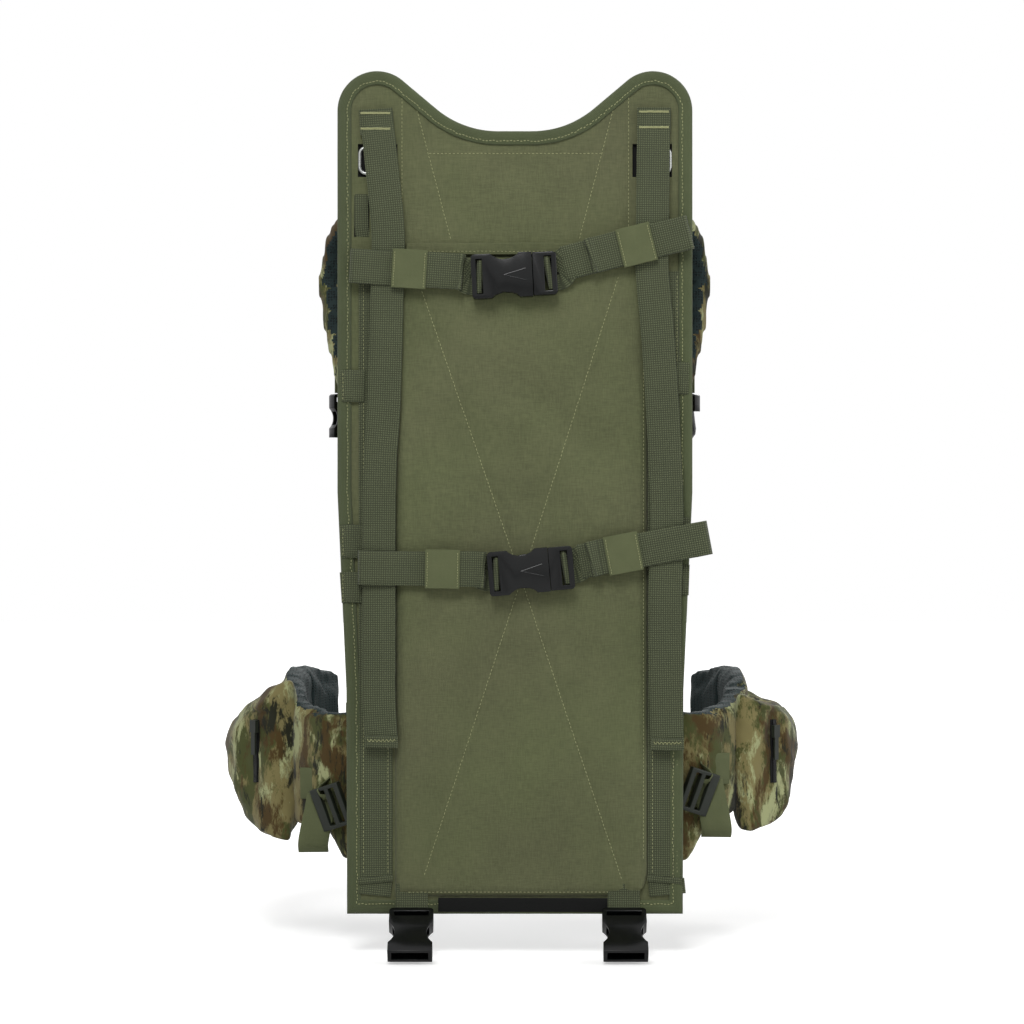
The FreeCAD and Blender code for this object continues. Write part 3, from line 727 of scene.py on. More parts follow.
def ribbon(name, path, width, thick, material, body, out=FORWARD, step=3.0, wobble=0.12, replaces=()):
    """A flat web laid along a path. out is the way its face looks, one vector or one for each path point. A web that
    bends between two bodies is given no body, and is blended by its own section."""
    outs = out if isinstance(out, list) else [out] * len(path)
    stations = []
    for (a, out_a), (b, out_b) in zip(zip(path, outs), zip(path[1:], outs[1:])):
        count = max(1, round((b - a).length / (step * MM)))
        stations += [(a.lerp(b, i / count), out_a.lerp(out_b, i / count)) for i in range(count)]
    stations.append((path[-1], outs[-1]))
    half, deep = width / 2, thick / 2
    side = [(-half, 0.5 * deep), (-half + 0.5, deep), (-half * 0.5, deep), (0, deep), (half * 0.5, deep),
            (half - 0.5, deep), (half, 0.5 * deep)]
    profile = side + [(a, -b) for a, b in reversed(side)]
    bm = bmesh.new()
    lay = bm.verts.layers.float_vector.new("lay")
    rings = []
    run = 0.0
    for i, (centre, facing) in enumerate(stations):
        before = stations[max(0, i - 1)][0]
        after = stations[min(len(stations) - 1, i + 1)][0]
        run += (centre - before).length if i else 0.0
        tangent = (after - before).normalized()
        beside = tangent.cross(facing).normalized()
        outward = beside.cross(tangent).normalized()
        edge = noise.noise(Vector((run * 90, half, 2))) * wobble
        ring = []
        for a, b in profile:
            lift = noise.noise(Vector((a * 0.06, run * 45, 4))) * wobble
            vert = bm.verts.new(centre + beside * (a + (edge if abs(a) > half - 1 else 0)) * MM
                                + outward * (b + lift) * MM)
            vert[lay] = (a * MM, run, 0)
            ring.append(vert)
        rings.append([bm.edges.new((ring[j - 1], ring[j])) for j in range(len(ring))])
    for first, second in zip(rings, rings[1:]):
        bmesh.ops.bridge_loops(bm, edges=first + second)
    bmesh.ops.contextual_create(bm, geom=rings[0])
    bmesh.ops.contextual_create(bm, geom=rings[-1])
    bmesh.ops.recalc_face_normals(bm, faces=bm.faces)
    piece = made(bm, name, material, sharp=60)
    if body:
        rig.ride(piece, body)
    finish_name = material.name.split(".")[0]
    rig.slot(piece, SLOTS.get(finish_name, finish_name))
    if replaces:
        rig.replaces(piece, *replaces)
    return piece


for word, x in (("left", -109.0), ("right", 117.2)):
    fold = 1.2 if x > 0 else -1.2
    ribbon("channel_web_" + word, [at(x, -5.1, 503), at(x, -5.1, 27)], 26.4, 1.3, webbing, "board",
           replaces=("channel_webs",))
    ribbon("channel_fold_" + word, [at(x - 13.6, -6.3, 27 + fold), at(x + 13.6, -6.3, 27 - fold)], 4.6, 1.2,
           webbing, "board")
    ribbon("channel_under_" + word, [at(x + fold, -4.9, 27), at(x + 2 * fold, -5.1, 15)], 28.5, 1.2,
           webbing,
           "board")
    stitching("channel_stitching_" + word,
              [[at(x + side, -5.85, 500), at(x + side, -5.85, 30)] for side in (-9.6, 9.6)], "board",
              slot="olive_webbing")

SIDE_LOOPS = ((-127, 413, 26), (-127, 291.5, 27), (-127, 255.5, 25), (127, 419, 26), (127, 297.5, 27),
              (127, 261.5, 25))
for i, (x, z, high) in enumerate(SIDE_LOOPS):
    ribbon("lash_loop_%d" % i, [at(x - 9.2, -6.3, z), at(x - 3, -7.0, z + 0.4), at(x + 9.2, -6.4, z)],
           high - 1,
           1.3, webbing, "board", step=2.0, replaces=("side_loops",))
    stitching("lash_loop_stitching_%d" % i, [[at(x + end, -7.3, z - 11), at(x + end, -7.3, z + 11)]
                                             for end in (-7.5,)], "board", slot="olive_webbing")

ribbon("slot_web", [at(-120.3, -3.4, 566), at(-120.3, -4.6, 556), at(-120, -4.4, 538), at(-119, -3.2, 529)], 11, 1.2,
       webbing, "board")

black_cloth = woven_cloth("black_strip", dye(3, 4, 3), 0.9, 0.3)
ribbon("foot_strip", [at(-60, -7.0, 7.6), at(85, -7.0, 7.2)], 11, 1.1, black_cloth, "board",
       replaces=("bottom_strip",))

# ---- Hanging straps ----
# A one inch web hangs from each horn, sewn down at the top with two bar tacks and ending in a folded, sewn hem.
# It lies on the board at the top, on the panel's level lower down, and drifts a little from side to side.
HANG_W = 25.8
HANG_RUNS = {
    "left": [(-109, 629.5), (-104, 585), (-99, 531), (-100, 475), (-102, 402), (-105, 355), (-106, 301),
             (-106, 215), (-106, 168), (-104, 131)],
    "right": [(108.7, 630.6), (108, 590), (107.3, 540), (107, 503), (111, 457), (114.7, 402), (117, 355),
              (118.6, 308), (117, 240), (118, 168), (119, 129)]}


def smooth_run(points, per=8):
    """Catmull-Rom curve through points."""
    ends = [points[0] * 2 - points[1]] + list(points) + [points[-1] * 2 - points[-2]]
    curve = []
    for a, b, c, d in zip(ends, ends[1:], ends[2:], ends[3:]):
        for i in range(per):
            t = i / per
            curve.append(0.5 * (2 * b + (c - a) * t + (2 * a - 5 * b + 4 * c - d) * t * t
                                + (3 * b - a - 3 * c + d) * t ** 3))
    return curve + [points[-1]]


for word, run in HANG_RUNS.items():
    places = []
    for x, z in run:
        share = min(1.0, max(0.0, (608 - z) / 36.0))
        places.append(at(x, -6.25 - 5.9 * share, z))
    path = smooth_run(places)
    ribbon("hang_strap_web_" + word, path, HANG_W, 1.4, webbing, "board", wobble=0.25,
           replaces=("hang_strap_" + word,))
    (top_x, top_z), (foot_x, foot_z) = run[0], run[-1]
    bars = [[at(top_x - 11.6, -8.35, top_z - drop), at(top_x + 11.6, -8.35, top_z - drop)]
            for drop in (2.6, 3.4, 14.8, 15.6)]
    stitching("hang_strap_tacks_" + word, bars, "board", pitch=1.0, length=1.6, width=1.0,
              slot="olive_webbing")
    ribbon("hang_strap_top_" + word, [at(top_x, -7.0, top_z + 0.3), at(top_x + 1.2 * (top_x < 0), -6.9,
           top_z - 19)], HANG_W + 0.4, 2.3, webbing, "board", wobble=0.2)
    ribbon("hang_strap_hem_" + word, [at(foot_x - 12.6, -13.7, foot_z + 5), at(foot_x + 12.6, -13.7, foot_z + 4.4)],
           9, 1.6, webbing, "board")
    zig = [at(foot_x - 11 + 1.5 * i, -14.75, foot_z + 5.6 + 1.3 * (-1) ** i) for i in range(16)]
    stitching("hang_strap_hem_stitching_" + word, [zig], "board", pitch=1.9, length=1.9,
              slot="olive_webbing")

# ---- Load lifter hooks ----
# Bent steel wire that catches the load lifter webs behind each horn and shows through the slots.


def wire_metal():
    finish = Finish("steel_wire")
    scratch = finish.speckle(finish.scaled(finish.place(), (1, 1, 6)), 400.0, 3.0)
    colour = finish.mix(scratch, dye(120, 122, 120), dye(205, 207, 204))
    return finish.look(colour, scratch * 0.25 + 0.18, Metallic=1.0)


steel = wire_metal()
refinish("lifter_hooks", steel)

# ---- Cross straps: webs, keepers and buckles ----
# Two webs close across the load with side release buckles. Each half is doubled back on itself through the
# buckle's bar; a band of lighter cloth keeps the tail, and the tail's end is folded over.


def keeper_cloth():
    finish = Finish("keeper_web")
    place = finish.place()
    x, _, z = finish.parts(place)
    fine = (x * 6200.0).wave() * (z * 6200.0).wave()
    clouds = finish.speckle(place, 60.0, 3.0)
    fuzz = finish.speckle(place, 1800.0, 2.0)
    colour = finish.mix(clouds * 0.6 + fuzz * 0.4, dye(72, 78, 52), dye(96, 101, 71))
    return finish.look(colour, 0.75, fine + fuzz, 0.12, Specular_IOR_Level=0.18)


keeper_web = keeper_cloth()


def moulded(name, colour, gloss=0.26, grain_mm=0.03):
    """Moulded nylon: dark, fairly glossy, with slight flow marks."""
    finish = Finish(name)
    place = finish.place()
    grain = finish.speckle(place, 900.0, 3.0)
    flow = finish.speckle(place, 60.0, 3.0, 0.6, 1.0)
    tint = finish.mix(flow, colour, tuple(c * 1.7 for c in colour[:3]) + (1.0,))
    return finish.look(tint, flow * 0.16 + (gloss - 0.05), grain, grain_mm, Specular_IOR_Level=0.3)


black_plastic = moulded("black_plastic", dye(4, 5, 5), 0.2)


def softened(node, name, material, body, slot, width=0.7):
    """A moulded part: the CAD piece with its sharp edges rounded off."""
    bm = bmesh.new()
    bm.from_mesh(frame["nodes"][node].data)
    bm.transform(frame["nodes"][node].matrix_world)
    bmesh.ops.remove_doubles(bm, verts=bm.verts, dist=0.01 * MM)
    bmesh.ops.dissolve_limit(bm, angle_limit=math.radians(1.5), verts=bm.verts, edges=bm.edges)
    crisp = [e for e in bm.edges if len(e.link_faces) == 2 and e.calc_face_angle() > math.radians(32)]
    bmesh.ops.bevel(bm, geom=crisp, offset=width * MM, segments=2, profile=0.5, affect="EDGES", material=-1,
                    clamp_overlap=True)
    bmesh.ops.triangulate(bm, faces=[f for f in bm.faces if len(f.verts) > 4])
    bmesh.ops.recalc_face_normals(bm, faces=bm.faces)
    piece = made(bm, name, material, sharp=45)
    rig.ride(piece, body)
    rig.replaces(piece, node)
    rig.slot(piece, slot)
    return piece


KEEPER_HALF = 13.5
BUCKLE_FACE = -21.9


class StrapLine:
    """Places along a cross strap: u along it from its buckle, v up, y as for the board."""

    def __init__(self, centre, angle):
        self.centre = centre
        self.turn = math.radians(angle)

    def at(self, u, v, y):
        x = self.centre[0] + u * math.cos(self.turn) - v * math.sin(self.turn)
        z = self.centre[1] + u * math.sin(self.turn) + v * math.cos(self.turn)
        return at(x, y, z)


def outs_along(path, beside):
    """The face direction of a web whose width lies along beside."""
    found = []
    for i in range(len(path)):
        tangent = (path[min(i + 1, len(path) - 1)] - path[max(i - 1, 0)]).normalized()
        found.append(beside.cross(tangent))
    return found


def cross_strap_half(row, word, centre, buckle_angle, angle, start, inner, end, keeper, body, tail, bulge):
    """One half of a cross strap: front layer, rear layer, tail fold, keeper, and the turn round the bar."""
    line = StrapLine(centre, angle)
    bar = StrapLine(centre, buckle_angle)
    way = 1 if end > 0 else -1
    name = "%s_strap_%s" % (row, word)
    up = (line.at(0, 1, 0) - line.at(0, 0, 0)).normalized() * way
    front = [line.at(start + way * 2, 0, -13.4), line.at(start + way * 8, 0, -14.0), line.at(inner, 0, -14.3),
             line.at((inner + end) / 2, 0, -14.0), line.at(end - way * 6, 0, -13.6 - bulge),
             line.at(end - way * 1.5, 0, -12.9 - bulge * 0.8), line.at(end, 0, -11.8),
             line.at(end - way * 1.5, 0, -10.6), line.at(end - way * 7, 0, -10.1), line.at(inner, 0, -10.1),
             line.at(start + way * 4, 0, -10.2)]
    path = smooth_run(front, 5)
    ribbon(name + "_web", path, 26.6, 1.25, webbing, body, out=outs_along(path, up), step=2.5,
           wobble=0.3, replaces=(name,))
    tail_path = smooth_run([line.at(keeper - way * 8, 0.4, -15.6), line.at(keeper - way * 18, 0.4, -15.8),
                            line.at(tail + way * 7, 0.4, -16.4), line.at(tail + way * 1.5, 0.3, -18.4),
                            line.at(tail, 0, -17.6), line.at(tail + way * 0.8, 0, -16.2),
                            line.at(tail + way * 6, 0, -15.4)], 5)
    ribbon(name + "_tail", tail_path, 27.6, 1.2, webbing, body, out=outs_along(tail_path, up * -1),
           step=2.0, wobble=0.35)
    wrap = smooth_run([bar.at(way * 25.0, 0, -13.0), bar.at(way * 24.9, 0, -17.0), bar.at(way * 26.0, 0, -19.4),
                       bar.at(way * 28.2, 0, -19.4), bar.at(way * 29.3, 0, -17.5), bar.at(way * 29.4, 0, -12.6),
                       bar.at(way * 32.0, 0, -10.9), bar.at(way * 35.5, 0, -11.4), line.at(start + way * 5, 0, -13.2),
                       line.at(start + way * 12, 0, -14.0)], 5)
    ribbon(name + "_turn", wrap, 25.4, 1.2, webbing, body, out=outs_along(wrap, up), step=1.5,
           wobble=0.05)
    band = bmesh.new()
    bmesh.ops.create_cube(band, size=1.0)
    bmesh.ops.transform(band, matrix=Matrix.Diagonal((2 * KEEPER_HALF * MM, 2.6 * MM, 30.4 * MM, 1)),
                         verts=band.verts)
    bmesh.ops.subdivide_edges(band, edges=band.edges, cuts=5, use_grid_fill=True)
    for vert in band.verts:
        if vert.co.y < 0:
            vert.co.y -= (0.4 - (vert.co.x / (KEEPER_HALF * MM)) ** 2 * 0.5) * MM
    bmesh.ops.rotate(band, verts=band.verts, cent=(0, 0, 0), matrix=Matrix.Rotation(-line.turn, 3, "Y"))
    bmesh.ops.translate(band, verts=band.verts, vec=line.at(keeper, 0, -16.4))
    band_piece = made(band, name + "_keeper", keeper_web)
    rounding = band_piece.modifiers.new("folded_edge", "BEVEL")
    rounding.width = 0.8 * MM
    rounding.segments = 2
    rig.ride(band_piece, body)
    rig.replaces(band_piece, "%s_keeper_%s" % (row, word))
    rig.slot(band_piece, "keeper_web")
    sides = [[line.at(keeper + edge, v, -18.0) for v in (-14.2, 14.2)] for edge in (-11.8, 11.8)]
    stitching(name + "_keeper_stitching", sides, body, pitch=2.1, length=1.7, width=0.5, slot="keeper_web")


# Where each row's buckle lies on the board, and how far it is turned.
UPPER_BUCKLE, MID_BUCKLE = (-0.5, 499), (12.5, 269)
UPPER_TURN, MID_TURN = 3, 5
cross_strap_half("upper", "left", UPPER_BUCKLE, UPPER_TURN, -3.5, -36.6, -58, -128, -82, "board", -41, 1.0)
cross_strap_half("upper", "right", UPPER_BUCKLE, UPPER_TURN, 14, 37.4, 55, 141, 98, "upper_clip", 61, 1.4)
cross_strap_half("mid", "left", MID_BUCKLE, MID_TURN, -1, -37, -50, -134.5, -69, "board", -36.5, 3.2)
cross_strap_half("mid", "right", MID_BUCKLE, MID_TURN, 10.6, 36.4, 52, 141, 73, "mid_clip", 47, 2.2)

for row, centre, angle in (("upper", UPPER_BUCKLE, UPPER_TURN), ("mid", MID_BUCKLE, MID_TURN)):
    line = StrapLine(centre, angle)
    for node, body, width in (("buckle_socket", "board", 0.9), ("buckle_clip", row + "_clip", 0.7),
                              ("latch_top", row + "_latch_top", 0.6),
                              ("latch_bottom", row + "_latch_bottom", 0.6)):
        softened("%s_%s" % (row, node), "%s_%s_body" % (row, node.replace("buckle_", "")), black_plastic,
                 body,
                 "black_plastic", width)
    for i, (v0, v1) in enumerate(((0.2, 4.6), (0.2, -4.6))):
        rib = bmesh.new()
        bmesh.ops.create_cone(rib, cap_ends=True, segments=8, radius1=0.42 * MM, radius2=0.42 * MM,
                              depth=math.dist((-8, v0), (9, v1)) * MM)
        tip, tail = line.at(-8, v0, BUCKLE_FACE), line.at(9, v1, BUCKLE_FACE)
        run = tail - tip
        bmesh.ops.transform(rib, matrix=run.to_track_quat("Z", "Y").to_matrix().to_4x4(), verts=rib.verts)
        bmesh.ops.translate(rib, verts=rib.verts, vec=(tip + tail) / 2)
        arrow = made(rib, "%s_arrow_%d" % (row, i), black_plastic)
        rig.ride(arrow, "board")
        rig.slot(arrow, "black_plastic")

# ---- Bottom buckles ----
# Two buckle sockets hang from short web loops at the foot of the board, for a lid or a bag to clip to. Each tips
# on its loop. Two ribs show inside the rectangular mouth.
for word, x in (("left", -80.6), ("right", 85.0)):
    softened("bottom_buckle_" + word, "bottom_socket_body_" + word, black_plastic, "bottom_buckle_" + word,
             "black_plastic", 0.7)
    loop_path = smooth_run([at(x, -7.0, 24), at(x, -7.2, 14), at(x, -9.0, 5), at(x, -11.6, 0.2), at(x, -10.6, -2.2),
                            at(x, -7.8, 1.0), at(x, -6.2, 8)], 5)
    loop_outs = []
    for i, spot in enumerate(loop_path):
        tangent = (loop_path[min(i + 1, len(loop_path) - 1)] - loop_path[max(i - 1, 0)]).normalized()
        loop_outs.append(Vector((1, 0, 0)).cross(tangent) * -1)
    ribbon("bottom_loop_web_" + word, loop_path, 25.0, 1.2, webbing, "board", out=loop_outs,
           step=1.5, wobble=0.05, replaces=("bottom_loops",))

# ---- Wearer's side of the board ----
# Two aluminium stays stand in cloth sleeves. Two long foam pads, a lumbar pad and a yoke panel are faced with a
# black and teal spacer mesh, quilted across, with cordura round their sides.


def spacer_mesh(name, dark, light, cell_mm=2.3):
    """Knitted spacer fabric: small round holes in a soft, slightly shiny ground. The holes are coloured near black, a
    painted shade inside them.
    """
    finish = Finish(name)
    place = finish.place()
    holes = finish.node("ShaderNodeTexVoronoi", {"feature": "F1"},
                        {"Vector": place, "Scale": 1000.0 / cell_mm, "Randomness": 0.25})
    ground = holes.above(0.32, 0.14)
    fuzz = finish.speckle(place, 1300.0, 3.0)
    clouds = finish.speckle(place, 25.0, 3.0)
    colour = finish.mix(clouds * 0.5 + fuzz * 0.5, dark, light)
    # Painted shade: the holes take a near black colour, as the shade inside them.
    colour = finish.mix(ground, (0.004, 0.006, 0.006, 1), colour)
    return finish.look(colour, fuzz * 0.2 + 0.62, ground + fuzz * 0.2, 0.5, Specular_IOR_Level=0.22)


air_mesh = spacer_mesh("air_mesh", dye(18, 30, 29), dye(33, 49, 49))
black_mesh = spacer_mesh("black_mesh", dye(13, 17, 16), dye(28, 33, 32), 3.0)


def cushion(node, name, materials, body, slot, fill, voxel=5.0, cap=6.0, pressure=4.0, facing=None,
            shape=None,
            crinkle=0.5, crinkle_size=22.0):
    """A padded piece: the CAD piece as one closed skin of cloth, blown up a little by its filling."""
    bm = bmesh.new()
    bm.from_mesh(frame["nodes"][node].data)
    bm.transform(frame["nodes"][node].matrix_world)
    bmesh.ops.remove_doubles(bm, verts=bm.verts, dist=0.01 * MM)
    bmesh.ops.recalc_face_normals(bm, faces=bm.faces)
    piece = made(bm, name, *materials)
    skin = piece.modifiers.new("skin", "REMESH")
    skin.mode = "VOXEL"
    skin.voxel_size = voxel * MM
    graph = bpy.context.evaluated_depsgraph_get()
    mesh = bpy.data.meshes.new_from_object(piece.evaluated_get(graph))
    piece.modifiers.remove(skin)
    piece.data = mesh
    bm = bmesh.new()
    bm.from_mesh(mesh)
    for _ in range(3):
        bmesh.ops.smooth_vert(bm, verts=bm.verts, factor=0.5, use_axis_x=True, use_axis_y=True,
                              use_axis_z=True)
    bm.to_mesh(mesh)
    bm.free()
    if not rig.quick():
        start = [v.co.copy() for v in mesh.vertices]
        cloth = piece.modifiers.new("filling", "CLOTH")
        cloth.settings.use_pressure = True
        cloth.settings.uniform_pressure_force = pressure
        cloth.settings.effector_weights.gravity = 0
        cloth.point_cache.frame_end = 20
        for step in range(1, 21):
            bpy.context.scene.frame_set(step)
        graph = bpy.context.evaluated_depsgraph_get()
        blown = [v.co.copy() for v in piece.evaluated_get(graph).data.vertices]
        piece.modifiers.remove(cloth)
        bpy.context.scene.frame_set(1)
        for vert, was, now in zip(mesh.vertices, start, blown):
            move = now - was
            vert.co = was + move * min(1.0, cap * MM / max(move.length, 1e-9))
    fine = bmesh.new()
    fine.from_mesh(mesh)
    bmesh.ops.subdivide_edges(fine, edges=fine.edges, cuts=1, use_grid_fill=True, smooth=0.6)
    fine.normal_update()
    for vert in fine.verts:
        spot = vert.co / MM
        deep = noise.noise(Vector((spot.x, spot.y, spot.z * 0.7)) / crinkle_size)
        small = noise.noise(spot / (crinkle_size * 0.42) + Vector((7, 3, 1)))
        push = -abs(deep) * 2.4 * crinkle + small * 0.9 * crinkle
        if shape:
            push += shape(spot)
        vert.co += vert.normal * push * MM
    if facing is not None:
        for face in fine.faces:
            face.material_index = facing(face.normal, face.calc_center_median())
    fine.to_mesh(mesh)
    fine.free()
    mesh.polygons.foreach_set("use_smooth", [True] * len(mesh.polygons))
    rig.padded(piece, fill)
    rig.replaces(piece, node)
    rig.slot(piece, slot)
    if body:
        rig.ride(piece, body)
    return piece


def quilted(rows, depth, softness=3.5):
    """Dips across a pad at these heights above the foot of the board."""
    heights = [FOOT / MM + z for z in rows]
    return lambda spot: -depth * sum(math.exp(-((spot.z - z) / softness) ** 2) for z in heights)


def to_the_back(normal, centre):
    return 0 if normal.y > 0.35 else 1


cushion("back_pad", "back_pads", (black_mesh, cordura), "board", "black_mesh", 0.7, 4.0, 3.0, 2.0,
        to_the_back,
        quilted((235, 283, 330, 377, 425), 3.0), 0.25)
cushion("lumbar_pad", "lumbar_cushion", (air_mesh, cordura), "board", "air_mesh", 0.7, 4.0, 3.0, 2.0,
        to_the_back,
        quilted((88, 147), 3.0), 0.3)
cushion("yoke_panel", "yoke_cushion", (black_mesh, cordura), "board", "black_mesh", 0.4, 3.0, 2.0, 1.5,
        to_the_back, quilted((523,), 1.5), 0.2)
refinish("stays", back_cloth)

# ---- Camouflage cloth ----
# Brushed polyester in a plain woodland mixture of tan, pale green, olive, brown and near black, drawn out upwards
# like grass and bark.


def camouflage():
    finish = Finish("camo_cloth")
    place = finish.place()
    brush = finish.speckle(finish.scaled(place, (330, 330, 90)), 1.0, 5.0, 0.7) - 0.5
    flicker = finish.speckle(finish.scaled(place, (1100, 1100, 420), (0, 0.6, 0)), 1.0, 3.0, 0.6) - 0.5

    def patches(sizes, shift, turn, edge, softness=0.035):
        moved = finish.node("ShaderNodeMapping", {}, {"Vector": place, "Scale": sizes, "Location": shift,
                                                      "Rotation": turn})
        field = finish.speckle(moved, 1.0, 4.0, 0.6, 0.9)
        return (field + brush * 0.34 + flicker * 0.16).above(edge, softness)

    tan, pale = dye(116, 108, 70), dye(150, 154, 112)
    olive, brown, dark = dye(66, 70, 36), dye(68, 53, 25), dye(32, 33, 20)
    colour = finish.mix(patches((30, 30, 17), (3, 1, 2), (0.2, 0.3, 0), 0.5), olive, tan)
    colour = finish.mix(patches((42, 42, 20), (9, 4, 7), (0.1, -0.4, 0), 0.58), colour, pale)
    colour = finish.mix(patches((26, 26, 13), (5, 8, 1), (0, 0.25, 0.5), 0.545), colour, brown)
    colour = finish.mix(patches((48, 48, 18), (1, 2, 9), (0.3, 0.1, 0), 0.575), colour, dark)
    weave = finish.speckle(place, 2200.0, 2.0)
    return finish.look(colour, weave * 0.2 + 0.72, weave, 0.1, Specular_IOR_Level=0.12, Sheen_Weight=0.15,
                       Sheen_Roughness=0.5)


camo = camouflage()

# ---- Shoulder straps ----
# Each padded strap is sewn to the yoke, arches over the shoulder and comes down the chest. Camouflage cloth covers
# its outside and spacer mesh lies against the wearer. A ladder lock at its foot takes the lower web, which runs
# back to the board by the belt, and a load lifter web joins its crown to the top of the board.
SPLAY = math.radians(32.0)


def in_strap_plane(side, s, z, across=0.0):
    x = 58 + s * math.sin(SPLAY) + across * math.cos(SPLAY)
    y = 37 + s * math.cos(SPLAY) - across * math.sin(SPLAY)
    return at(side * x, y, z)


lock_plastic = moulded("lock_plastic", dye(26, 30, 24), 0.3)


for side, word in ((-1, "left"), (1, "right")):
    shoulder = "shoulder_" + word
    crown = in_strap_plane(side, 70, 440)
    across_strap = (in_strap_plane(side, 0, 500, 1) - in_strap_plane(side, 0, 500)).normalized()

    def outside(normal, centre, crown=crown, across_strap=across_strap):
        spoke = centre - crown
        spoke -= across_strap * spoke.dot(across_strap)
        return 0 if normal.dot(spoke.normalized()) > -0.3 else 1

    pad = cushion("shoulder_pad_" + word, "shoulder_strap_" + word, (camo, air_mesh), None, "camo_cloth",
                  0.6,
                  4.0, 3.0, 2.5, outside, lambda spot: 1.8, 0.35)
    root = [at(side * 50, 11, 494), at(side * 52, 19, 503), at(side * 55, 29, 511), in_strap_plane(side, -2, 511),
            in_strap_plane(side, 8, 524)]
    root_path = smooth_run(root, 6)
    strap_root = ribbon("shoulder_root_" + word, root_path, 56, 8.0, camo, None,
                        out=outs_along(root_path, across_strap * side), wobble=0.6)
    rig.blend(strap_root, "board", shoulder, at(side * 58, 36, 508), at(side * 58, 56, 508))
    foot_web = smooth_run([in_strap_plane(side, 80, 336), in_strap_plane(side, 72, 318),
                           in_strap_plane(side, 65, 305),
                           in_strap_plane(side, 61, 297)], 6)
    ribbon("strap_foot_web_" + word, foot_web, 25, 2.2, webbing, shoulder,
           out=outs_along(foot_web, across_strap))
    chest_mount = smooth_run([in_strap_plane(side, 146, 503), in_strap_plane(side, 156, 500),
                              in_strap_plane(side, 162.5, 492), in_strap_plane(side, 163, 478)], 6)
    ribbon("chest_mount_web_" + word, chest_mount, 20, 2.4, webbing, shoulder,
           out=outs_along(chest_mount, across_strap))
    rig.blend(pad, "board", shoulder, at(side * 58, 36, 508), at(side * 58, 56, 508))
    softened("shoulder_lock_" + word, "shoulder_lock_body_" + word, lock_plastic, shoulder,
             "black_plastic", 0.6)
    foot = in_strap_plane(side, 50, 275.6)
    low = smooth_run([foot, foot.lerp(at(side * 112, 18, 192), 0.35) + Vector((0, 4 * MM, -3 * MM)),
                      foot.lerp(at(side * 112, 18, 192), 0.7) + Vector((0, 4 * MM, -2 * MM)),
                      at(side * 112, 18, 192)], 8)
    lower = ribbon("lower_strap_" + word, low, 25, 1.4, webbing, None,
                   out=outs_along(low, across_strap), replaces=("lower_web_" + word,))
    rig.blend(lower, shoulder, "board", foot, at(side * 112, 18, 192))
    lift_low, lift_high = at(side * 108.5, 6.8, 594), in_strap_plane(side, 66, 573.5)
    lift = smooth_run([lift_low, lift_low.lerp(lift_high, 0.5) + Vector((0, 0, 1.5 * MM)), lift_high,
                       in_strap_plane(side, 84, 571.5)], 8)
    lifter = ribbon("lifter_strap_" + word, lift, 25, 1.4, webbing, None,
                    out=outs_along(lift, Vector((side, 0, 0))), replaces=("lifter_webs",))
    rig.blend(lifter, "board", shoulder, lift_low, lift_high)

# ---- Sternum strap ----
# Two narrow webs hang from the shoulder straps. The left one carries the buckle's socket and the right its clip.
refinish("chest_web_left", keeper_web)
refinish("chest_web_right", keeper_web)
softened("chest_socket", "chest_socket_body", black_plastic, "chest_left", "black_plastic", 0.5)
softened("chest_clip", "chest_clip_body", black_plastic, "chest_right", "black_plastic", 0.5)

# ---- Hip belt ----
# Two padded wings swing on the lumbar pad. Camouflage outside, spacer mesh inside and along the top edge. A
# zipped pouch is sewn to the outside of each, and a stabiliser web with a ladder lock ties the wing to the board.


def wing_outside(side):
    middle = at(0, 130, 100)

    def facing(normal, centre):
        away = centre - middle
        away.z = 0
        return 0 if normal.dot(away.normalized()) > -0.1 and normal.z < 0.75 else 1

    return facing


def surface(piece):
    """What points are dropped onto when seams are laid on a finished piece."""
    graph = bpy.context.evaluated_depsgraph_get()
    return BVHTree.FromObject(piece, graph)


def laid_on(tree, places, aim, lift=0.3):
    """Drop points onto a piece along a direction."""
    found = []
    for a, b in zip(places, places[1:]):
        count = max(1, round((b - a).length / (3 * MM)))
        for i in range(count):
            start = a.lerp(b, i / count)
            hit = tree.ray_cast(start - aim * 0.12, aim, 0.4)
            if hit[0] is not None:
                found.append(hit[0] - aim * lift * MM)
    return found


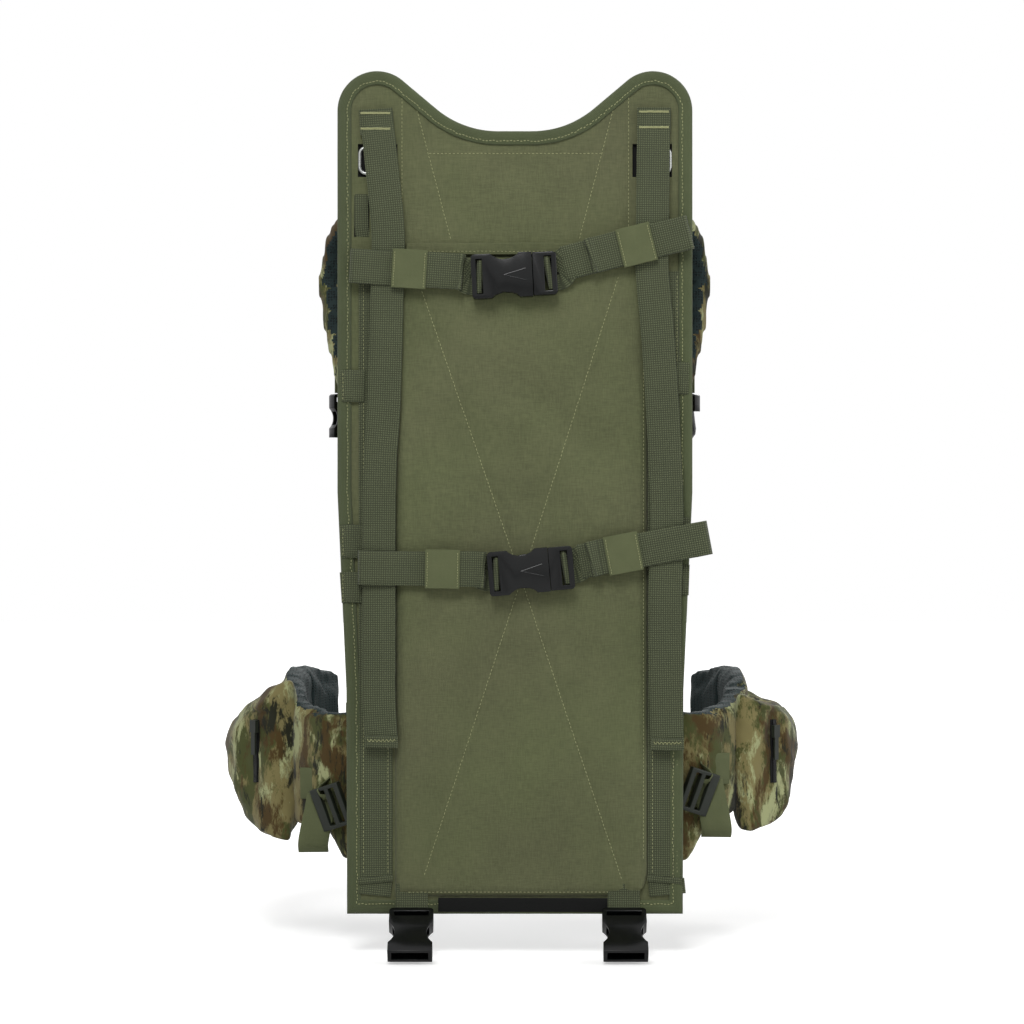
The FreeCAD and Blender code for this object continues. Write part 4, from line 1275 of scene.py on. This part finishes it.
for side, word in ((-1, "left"), (1, "right")):
    belt = "belt_" + word
    wing = cushion("belt_wing_" + word, "wing_cushion_" + word, (camo, air_mesh), None, "camo_cloth", 0.6,
                   5.0, 4.0,
                   3.0, wing_outside(side), None, 0.5)
    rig.blend(wing, "board", belt, at(side * 88, 28, 95), at(side * 112, 31, 95))
    hinge_path = [at(side * 78, 24, 112), at(side * 86, 25, 112), at(side * 94, 27, 111), at(side * 104, 30, 110)]
    hinge = ribbon("wing_hinge_" + word, hinge_path, 84, 6.0, air_mesh, None,
                   out=Vector((0, 1, 0)), wobble=0.6)
    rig.blend(hinge, "board", belt, at(side * 88, 28, 95), at(side * 112, 31, 95))

    def flat_by_zip(spot, side=side):
        reach = math.dist((spot.x, spot.y), (side * 210, SHEET_Y / MM + 67))
        return -4.0 * math.exp(-(reach / 15) ** 2) if spot.z < FOOT / MM + 155 else 0.0

    pouch = cushion("pouch_" + word, "pouch_cloth_" + word, (camo,), belt, "camo_cloth", 0.45, 5.0, 9.0,
                    5.0,
                    None, flat_by_zip, 1.5, 30.0)
    skin = surface(pouch)
    rear = Vector((-side * 0.35, 1, 0)).normalized()
    seams = [laid_on(skin, [at(side * 208, -60, 150), at(side * 205, -60, 120), at(side * 198, -60, 97)],
                     rear),
             laid_on(skin, [at(side * 160, -60, 90), at(side * 196, -60, 92), at(side * 232, -60, 90)],
                     rear)]
    for i, seam in enumerate(seams):
        if len(seam) > 3:
            stitching("pouch_seam_%s_%d" % (word, i), [seam], belt, facing=-rear, pitch=2.8, length=2.2,
                      width=0.6,
                      slot="camo_cloth")
    zip_row = laid_on(skin, [at(side * 210, -60, 146), at(side * 210, -60, 92)], Vector((0, 1, 0)), 0.2)
    if len(zip_row) > 3:
        zip_out = Vector((side * 0.64, -0.76, 0))
        ribbon("zip_tape_" + word, zip_row, 7, 0.8, black_cloth, belt, out=zip_out, step=2.0)
        coil = [spot + zip_out * 0.9 * MM for spot in zip_row]
        ribbon("zip_coil_" + word, coil, 3.0, 1.2, black_plastic, belt, out=zip_out, step=1.2,
               wobble=0.5)
    refinish("zip_slider_" + word, lock_plastic)
    stab_z = 88.0 if side < 0 else 100.0
    lean = math.radians(20.0) * side
    lock = softened("stabiliser_lock_" + word, "stabiliser_lock_body_" + word, lock_plastic, belt,
                    "black_plastic",
                    0.7)
    low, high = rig.box("stabiliser_lock_" + word)
    middle = (low + high) / 2
    tip = (Matrix.Translation(middle + Vector((side * -1 * MM, -6.5 * MM,
                                               -7 * MM))) @ Matrix.Rotation(lean, 4, "Y")
           @ Matrix.Scale(1.12, 4) @ Matrix.Translation(-middle))
    lock.data.transform(tip)
    hub = tip @ middle
    lead = smooth_run([at(side * 172, 47, stab_z + 9), at(side * 162, 41, stab_z + 9), at(side * 152, 36, stab_z + 6),
                       hub + Vector((side * 8 * MM, 5.5 * MM, 2 * MM)), hub + Vector((0, 5 * MM, 0)),
                       hub + Vector((side * -9 * MM, 5 * MM, -2 * MM))], 6)
    ribbon("stabiliser_strap_" + word, lead, 25, 1.3, keeper_web, belt,
           out=outs_along(lead, Vector((0, 0, side))), replaces=("stabiliser_web_" + word,))
    tail = smooth_run([hub + Vector((side * 8 * MM, 5 * MM, 8 * MM)), hub + Vector((side * 10 * MM, 4.6 * MM, -4 * MM)),
                       hub + Vector((side * 13 * MM, 3 * MM, -18 * MM)),
                       hub + Vector((side * 15 * MM, 4 * MM, -30 * MM)),
                       hub + Vector((side * 15 * MM, 9 * MM, -37 * MM))], 7)
    ribbon("stabiliser_tail_" + word, tail, 24, 1.3, keeper_web, belt,
           out=outs_along(tail, Vector((1, 0, 0))))

# ---- Waist buckle ----
# Wide web leads from the wing tips to a large side release buckle, which hangs open.
refinish("waist_web_left", keeper_web)
refinish("waist_web_right", keeper_web)
softened("waist_socket", "waist_socket_body", black_plastic, "belt_left", "black_plastic", 0.9)
softened("waist_clip", "waist_clip_body", black_plastic, "belt_right", "black_plastic", 0.8)

# ---- Finish ----
with open("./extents.json", "w") as note:
    note.write(str([[list(corner) for corner in box] for box in (cad_size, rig.bounds())]))
